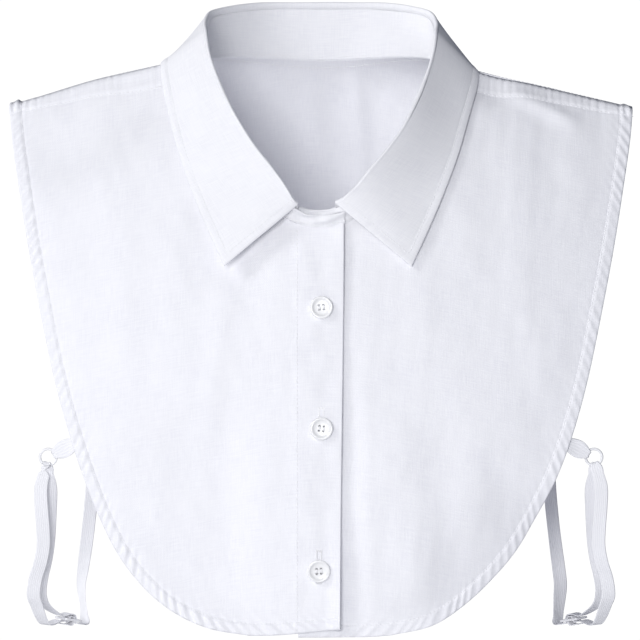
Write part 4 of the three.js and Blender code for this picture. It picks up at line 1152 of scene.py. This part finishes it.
# %% [markdown]
# ## The straps
#
# On each side a short folded tape, sewn behind the front's hem, carries a small ring. The long tape
# is sewn to the middle bar of a slider, runs up through the ring, comes down again, goes through the
# slider and up to the inside of the back. It is elastic tape, soft enough to twist as it hangs, so
# its route is a chosen line of points that follow the real one, with the heading of its width at
# each. A smooth curve through them gives the tape, and it bends round the ring where it turns.

# %% Route of the strap
TAPE_WIDTH, TAPE_WALL, TAB_SEWN, TAB_REACH, TAB_SLOPE, TAB_DOWN = 8.0, 0.8, 8.0, 15.5, 0.29, 0.667
RING_RADIUS, RING_WIRE, STRAP_DROP, SLIDER_BAR = 4.8, 0.8, 99.0, 1.7
BACK_SEAT_RISE, BACK_SEAT_LENGTH = 14.0, 16.0
TAPE_CLEAR, TAPE_HALF = GAP + TAPE_WALL / 2, 0.34
FRONT_PLY = ((0.034, 0.300, 1.044, -33, 1), (0.062, 0.230, 0.992, -24, 1), (0.084, 0.170, 0.910, -12, 1),
             (0.100, 0.129, 0.840, -2, 1), (0.085, 0.099, 0.736, 4, 1), (0.053, 0.069, 0.635, 6, 1),
             (0.034, 0.048, 0.530, 6, 1), (0.035, 0.024, 0.415, 4, 1), (0.042, 0.004, 0.300, 0, 1),
             (0.044, -0.010, 0.186, -2, 0.98), (0.026, -0.018, 0.100, 0, 0.85))
REAR_PLY = ((0.004, 0.024, 0.105, 4, 0.85), (-0.010, 0.059, 0.200, 18, 0.98), (-0.006, 0.099, 0.347, 32, 1),
            (0.005, 0.155, 0.505, 34, 1), (0.026, 0.195, 0.630, 24, 1), (0.056, 0.228, 0.743, 8, 1),
            (0.070, 0.271, 0.835, -8, 1), (0.058, 0.321, 0.910, -20, 1), (0.022, 0.378, 0.962, -30, 1))
BACK_PLY = ((-0.166, 0.672, 1.092, -50, 1), (-0.166, 0.728, 1.046, -58, 1), (-0.156, 0.786, 0.965, -62, 1),
            (-0.146, 0.857, 0.885, -50, 1), (-0.152, 0.920, 0.805, -30, 1), (-0.166, 0.998, 0.680, -12, 1),
            (-0.182, 1.085, 0.525, -4, 1), (-0.194, 1.190, 0.360, 0, 1), (-0.206, 1.275, 0.150, 4, 1))
BACK_TURN = (-50, -44, -28, -8, 10, 22, 26, 20, 10)
SLIDER_AT, SLIDER_TO = (-0.085, 0.520, 1.046), (-0.740, 0.620, 0.200)
SEWN_LOOP = ((-2.8, -1.9), (0.3, -1.9), (1.0, -1.2), (1.15, 0.3), (0.75, 0.95), (0.0, 1.08), (-0.75, 0.95),
             (-1.15, 0.3), (-1.3, -0.55), (-1.9, -1.0), (-4.6, -1.02))
THROUGH_PLY = ((-4.6, 1.05), (-2.9, 1.15), (-1.4, 1.75), (0.0, 1.95), (1.25, 1.65), (1.85, 0.75),
               (2.05, -0.35), (2.6, -1.0), (4.6, -1.05))


def tab_place():
    along = 0.0
    while float(read(FRONT_ROWS, "down", along)) < TAB_DOWN:
        along += 0.001
    x = float(read(FRONT_ROWS, "across", along)) * SHOULDER_HALF
    return x, float(run_at_z(FRONT, x, NECK_POINT_Z - TAB_DOWN * BODY_DROP))


def ring_seat(sign):
    x, run = tab_place()
    edge = on_body(FRONT, x, run)
    out = unit(edge - on_body(FRONT, x - 1, run))
    centre = edge - body_normal(FRONT, x, run) * (HEM_WALL / 2 + GAP + TAPE_WALL) + out * TAB_REACH
    centre[2] -= TAB_REACH * TAB_SLOPE
    return centre * (sign, 1, 1)


def ring_turn(ring, outward, hug_way):
    reach = RING_WIRE + TAPE_CLEAR + 0.1
    across = np.cross((0, hug_way, 0), outward)
    wire = ring + outward * RING_RADIUS
    return [(wire - outward * reach * math.sin(a) - np.array((0, reach * math.cos(a), 0)), across, 0.7,
             1.0, hug_way) for a in np.linspace(0, math.pi, 7)]


def along_route(sign, ring, ply):
    rows = []
    for k, (out, behind, down, turn, wide) in enumerate(ply):
        heading = math.radians(BACK_TURN[k] if sign > 0 and ply is BACK_PLY else turn)
        across = np.array((-sign * math.cos(heading), math.sin(heading), 0))
        rows.append((ring + np.array((sign * out, behind, -down)) * STRAP_DROP, across, wide, 0.0, 1))
    return rows


def slider_frame(sign, ring):
    out, behind, down = SLIDER_AT
    middle = ring + np.array((sign * out, behind, -down)) * STRAP_DROP
    along = unit(np.array((sign * SLIDER_TO[0], SLIDER_TO[1], -SLIDER_TO[2])))
    across = unit(np.array((-sign * along[1], sign * along[0], 0)))
    above = unit(np.cross(across, along) * sign)
    return middle, along, across, above if above[2] > 0 else -above


def through_slider(place, passage):
    middle, along, across, above = place
    return [(middle + (along * a + above * b) * SLIDER_BAR, across, 1, 0.0, 1) for a, b in passage]


# %% Ribbon along a route
def curve_through(values, steps):
    values = np.asarray(values, float)
    spread = np.concatenate([[2 * values[0] - values[1]], values, [2 * values[-1] - values[-2]]])
    parts = []
    for k in range(len(values) - 1):
        a, b, c, d = spread[k:k + 4]
        t = np.linspace(0, 1, steps, endpoint=False)[:, None]
        parts.append(0.5 * (2 * b + (c - a) * t + (2 * a - 5 * b + 4 * c - d) * t**2
                            + (3 * b - a - 3 * c + d) * t**3))
    return np.concatenate(parts + [values[-1:]])


def ribbon(name, rows, ring, steps=7, columns=17):
    line = curve_through([r[0] for r in rows], steps)
    across = curve_through([unit(np.asarray(r[1], float)) for r in rows], steps)
    wide, hug = curve_through([(r[2], r[3]) for r in rows], steps).T
    way = np.repeat([r[4] for r in rows], steps)[:len(line)]
    tangent = unit(np.gradient(line, axis=0))
    across = unit(across - tangent * (across * tangent).sum(-1, keepdims=True))
    offset = np.linspace(-0.5, 0.5, columns)[None] * (np.clip(wide, 0.5, 1) * TAPE_WIDTH)[:, None]
    flat = line[:, None] + across[:, None] * offset[..., None]
    spoke = (line - ring)[:, None] + 0 * flat
    angle = way[:, None] * offset / RING_RADIUS
    bent = np.stack([spoke[..., 0] * np.cos(angle) + spoke[..., 2] * np.sin(angle), spoke[..., 1],
                     spoke[..., 2] * np.cos(angle) - spoke[..., 0] * np.sin(angle)], -1) + ring
    middle = flat + (bent - flat) * np.clip(hug, 0, 1)[:, None, None]
    out = smooth_normals(middle)
    d = np.minimum(offset + wide[:, None] * TAPE_WIDTH / 2, wide[:, None] * TAPE_WIDTH / 2 - offset)
    flat = np.stack([offset, lengths(line)[:, None] + 0 * offset], -1)
    return shell(name, middle, out, faces_at(np.maximum(d, 0), TAPE_HALF), flat, ELASTIC)["piece"]


def strap_tape(sign, name):
    ring = ring_seat(sign)
    place = slider_frame(sign, ring)
    hang = unit(np.array((sign * 0.2, 0, -1.0)))
    low = ring[2] + BACK_SEAT_RISE
    share = (NECK_POINT_Z - low) / BODY_DROP
    x = sign * (float(read(BACK_ROWS, "across", share, key="down")) * SHOULDER_HALF - TAPE_WIDTH * 0.6)
    sewn = []
    for z in (low, low + BACK_SEAT_LENGTH):
        run = float(run_at_z(BACK, x, z))
        normal = body_normal(BACK, x, run)
        point = on_body(BACK, x, run) - normal * (HEM_WALL / 2 + GAP + TAPE_CLEAR - 0.5)
        across = on_body(BACK, x - sign, run) - on_body(BACK, x + sign, run)
        sewn.append((point, across, 1, 0.0, 1))
    rows = (through_slider(place, SEWN_LOOP) + along_route(sign, ring, FRONT_PLY)
            + ring_turn(ring, hang, sign) + along_route(sign, ring, REAR_PLY)
            + through_slider(place, THROUGH_PLY) + along_route(sign, ring, BACK_PLY) + sewn)
    return ribbon(name, rows, ring)


def strap_tab(sign, name):
    ring = ring_seat(sign)
    x, run = tab_place()

    def sewn(inset, ply):
        behind = -HEM_WALL / 2 - TAPE_CLEAR - ply * (TAPE_WALL + GAP)
        at = sign * (x - inset)
        point = on_body(FRONT, at, run) + body_normal(FRONT, at, run) * behind
        return point, (on_body(FRONT, at, run + 1) - on_body(FRONT, at, run - 1)) * -sign, 1, 0.0, 1

    outward = sewn(0, 0)[0] - ring
    outward[1] = 0
    rows = [sewn(TAB_SEWN, 0), sewn(TAB_SEWN / 2, 0), sewn(0, 0), *ring_turn(ring, unit(outward), 1),
            sewn(0, 1), sewn(TAB_SEWN / 2, 1), sewn(TAB_SEWN, 1)]
    return ribbon(name, rows, ring)


# %% Rings and sliders
def nylon_ring(sign, name):
    ring = ring_seat(sign)
    sides, wire = 56, 14
    points, faces = [], []
    for i in range(sides):
        a, k = math.tau * i / sides, (i + 1) % sides
        spoke = np.array((math.cos(a), 0, math.sin(a)))
        for j in range(wire):
            b, m = math.tau * j / wire, (j + 1) % wire
            points.append(ring + spoke * (RING_RADIUS + RING_WIRE * math.cos(b))
                          + (0, RING_WIRE * math.sin(b), 0))
            faces.append([i * wire + j, i * wire + m, k * wire + m, k * wire + j])
    return recalculated(to_mesh(name, points, faces, NYLON))


def softened_copy(node, name, material, width):
    """The solid itself with its edges rounded, as moulding leaves them."""
    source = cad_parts[node]
    mesh = source.data.copy()
    mesh.transform(source.matrix_world)
    mesh.materials.clear()
    mesh.materials.append(material)
    piece = linked(name, mesh)
    work = bmesh.new()
    work.from_mesh(mesh)
    bmesh.ops.remove_doubles(work, verts=work.verts, dist=1e-6)
    bmesh.ops.dissolve_limit(work, angle_limit=math.radians(1), verts=work.verts, edges=work.edges)
    work.to_mesh(mesh)
    work.free()
    bevel = piece.modifiers.new("Moulded edges", "BEVEL")
    bevel.width = width * MM
    bevel.segments = 3
    bevel.limit_method = "ANGLE"
    done = plain_mesh(piece, name)
    shade_smooth(done.data, crease=35)
    return done


straps = {}
for sign, side in ((-1, "right"), (1, "left")):
    straps[f"strap_tape_{side}"] = strap_tape(sign, f"strap_{side}_tape")
    straps[f"strap_tab_{side}"] = strap_tab(sign, f"strap_{side}_tab")
    straps[f"strap_ring_{side}"] = nylon_ring(sign, f"strap_{side}_ring")
    straps[f"strap_slider_{side}"] = softened_copy(f"strap_slider_{side}", f"strap_{side}_slider", NYLON, 0.3)
print("strap pieces:", ", ".join(straps))

# %% [markdown]
# ## Which piece stands for which solid
#
# Each fine piece takes the place of its solid and rides on the same body. The size that each
# cloth piece was cut to is printed beside the area measured on its mesh.

# %% Fit the pieces to the frame
def fit(piece, slot, *nodes):
    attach(piece, "root")
    if nodes:
        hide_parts(*nodes)


for cloth, node in ((front_right, "front_panel_right"), (front_left, "front_panel_left"),
                    (back_cloth, "back_panel"), (stand_cloth, "collar_stand"), (leaf_cloth, "collar_leaf")):
    fit(cloth["piece"], "cotton", node)
for piece in (hem_stitching, placket_stitching, collar_stitching, buttonhole_edges, buttonhole_bars):
    fit(piece, "cotton")
for number, (piece, thread) in enumerate(zip(buttons, threads), 1):
    fit(piece, "button", f"button_{number}")
    fit(thread, "cotton")
for node, piece in straps.items():
    fit(piece, "plastic" if "ring" in node or "slider" in node else "elastic", node)

SHEETS = ((front_right, (0.205, 0.345), "stand_cloth"), (front_left, (0.205, 0.345), "stand_cloth"),
          (back_cloth, (0.42, 0.33), "stand_cloth"), (stand_cloth, (0.44, 0.036), "back_cloth"),
          (leaf_cloth, (0.47, 0.080), "stand_cloth"))
for cloth, flat, rests_on in SHEETS:
    print(cloth["piece"].name, "cut from", flat, "m, measured", round(cloth["area"], 4))

# %% [markdown]
# ## Studio
#
# The piece is shown on white, lit by large soft lights, the strongest nearly from the front and from
# the left. The floor is pale and plain and lies well below, so that it doesn't show behind the hem.
# The world is white to the eye, and dimmer as a source of light, which keeps the shape of the folds.

# %% Light, floor and surroundings
LIGHTS = table("azimuth height watts", (-60, 35, 24.5), (-35, 25, 6.5), (-9, 9, 45.5),
               (-120, 25, 30.0), (35, -7, 4.5))
LIGHT_DISTANCE, LIGHT_SIZE, LIGHT_AIM = 3.0, 1.0, Vector((0, 0, -0.15))
FLOOR_HALF, FLOOR_Z = 1500, -620


def studio():
    world = bpy.data.worlds.new("White studio")
    bpy.context.scene.world = world
    world.use_nodes = True
    tree = world.node_tree
    tree.nodes.clear()
    fill = add_node(tree, "ShaderNodeBackground", {"Color": linear("#d3defc"), "Strength": 0.125})
    white = add_node(tree, "ShaderNodeBackground", {"Color": (1, 1, 1, 1), "Strength": 1.05})
    path = add_node(tree, "ShaderNodeLightPath")
    seen = add_node(tree, "ShaderNodeMixShader", {0: path.outputs["Is Camera Ray"], 1: fill.outputs[0],
                                                  2: white.outputs[0]})
    add_node(tree, "ShaderNodeOutputWorld", {"Surface": seen.outputs[0]})
    for azimuth, height, watts in zip(*LIGHTS.values()):
        data = bpy.data.lights.new("Softbox", "AREA")
        data.shape = "DISK"
        data.size = LIGHT_SIZE
        data.energy = watts
        light = linked("Softbox", data)
        turn, rise = math.radians(azimuth), math.radians(height)
        way = Vector((math.sin(turn) * math.cos(rise), -math.cos(turn) * math.cos(rise), math.sin(rise)))
        light.location = way * LIGHT_DISTANCE + LIGHT_AIM
        light.rotation_euler = (-way).to_track_quat("-Z", "Y").to_euler()
        light.visible_camera = False
    corners = [(x * FLOOR_HALF, y * FLOOR_HALF, FLOOR_Z) for x, y in ((-1, -1), (1, -1), (1, 1), (-1, 1))]
    paint = plain("Painted floor, matt white", "#f6f6f8", 0.9)
    to_mesh("floor", corners, [[0, 1, 2, 3]], paint)
    bpy.context.scene.view_settings.view_transform = "Standard"


studio()
print("studio ready")
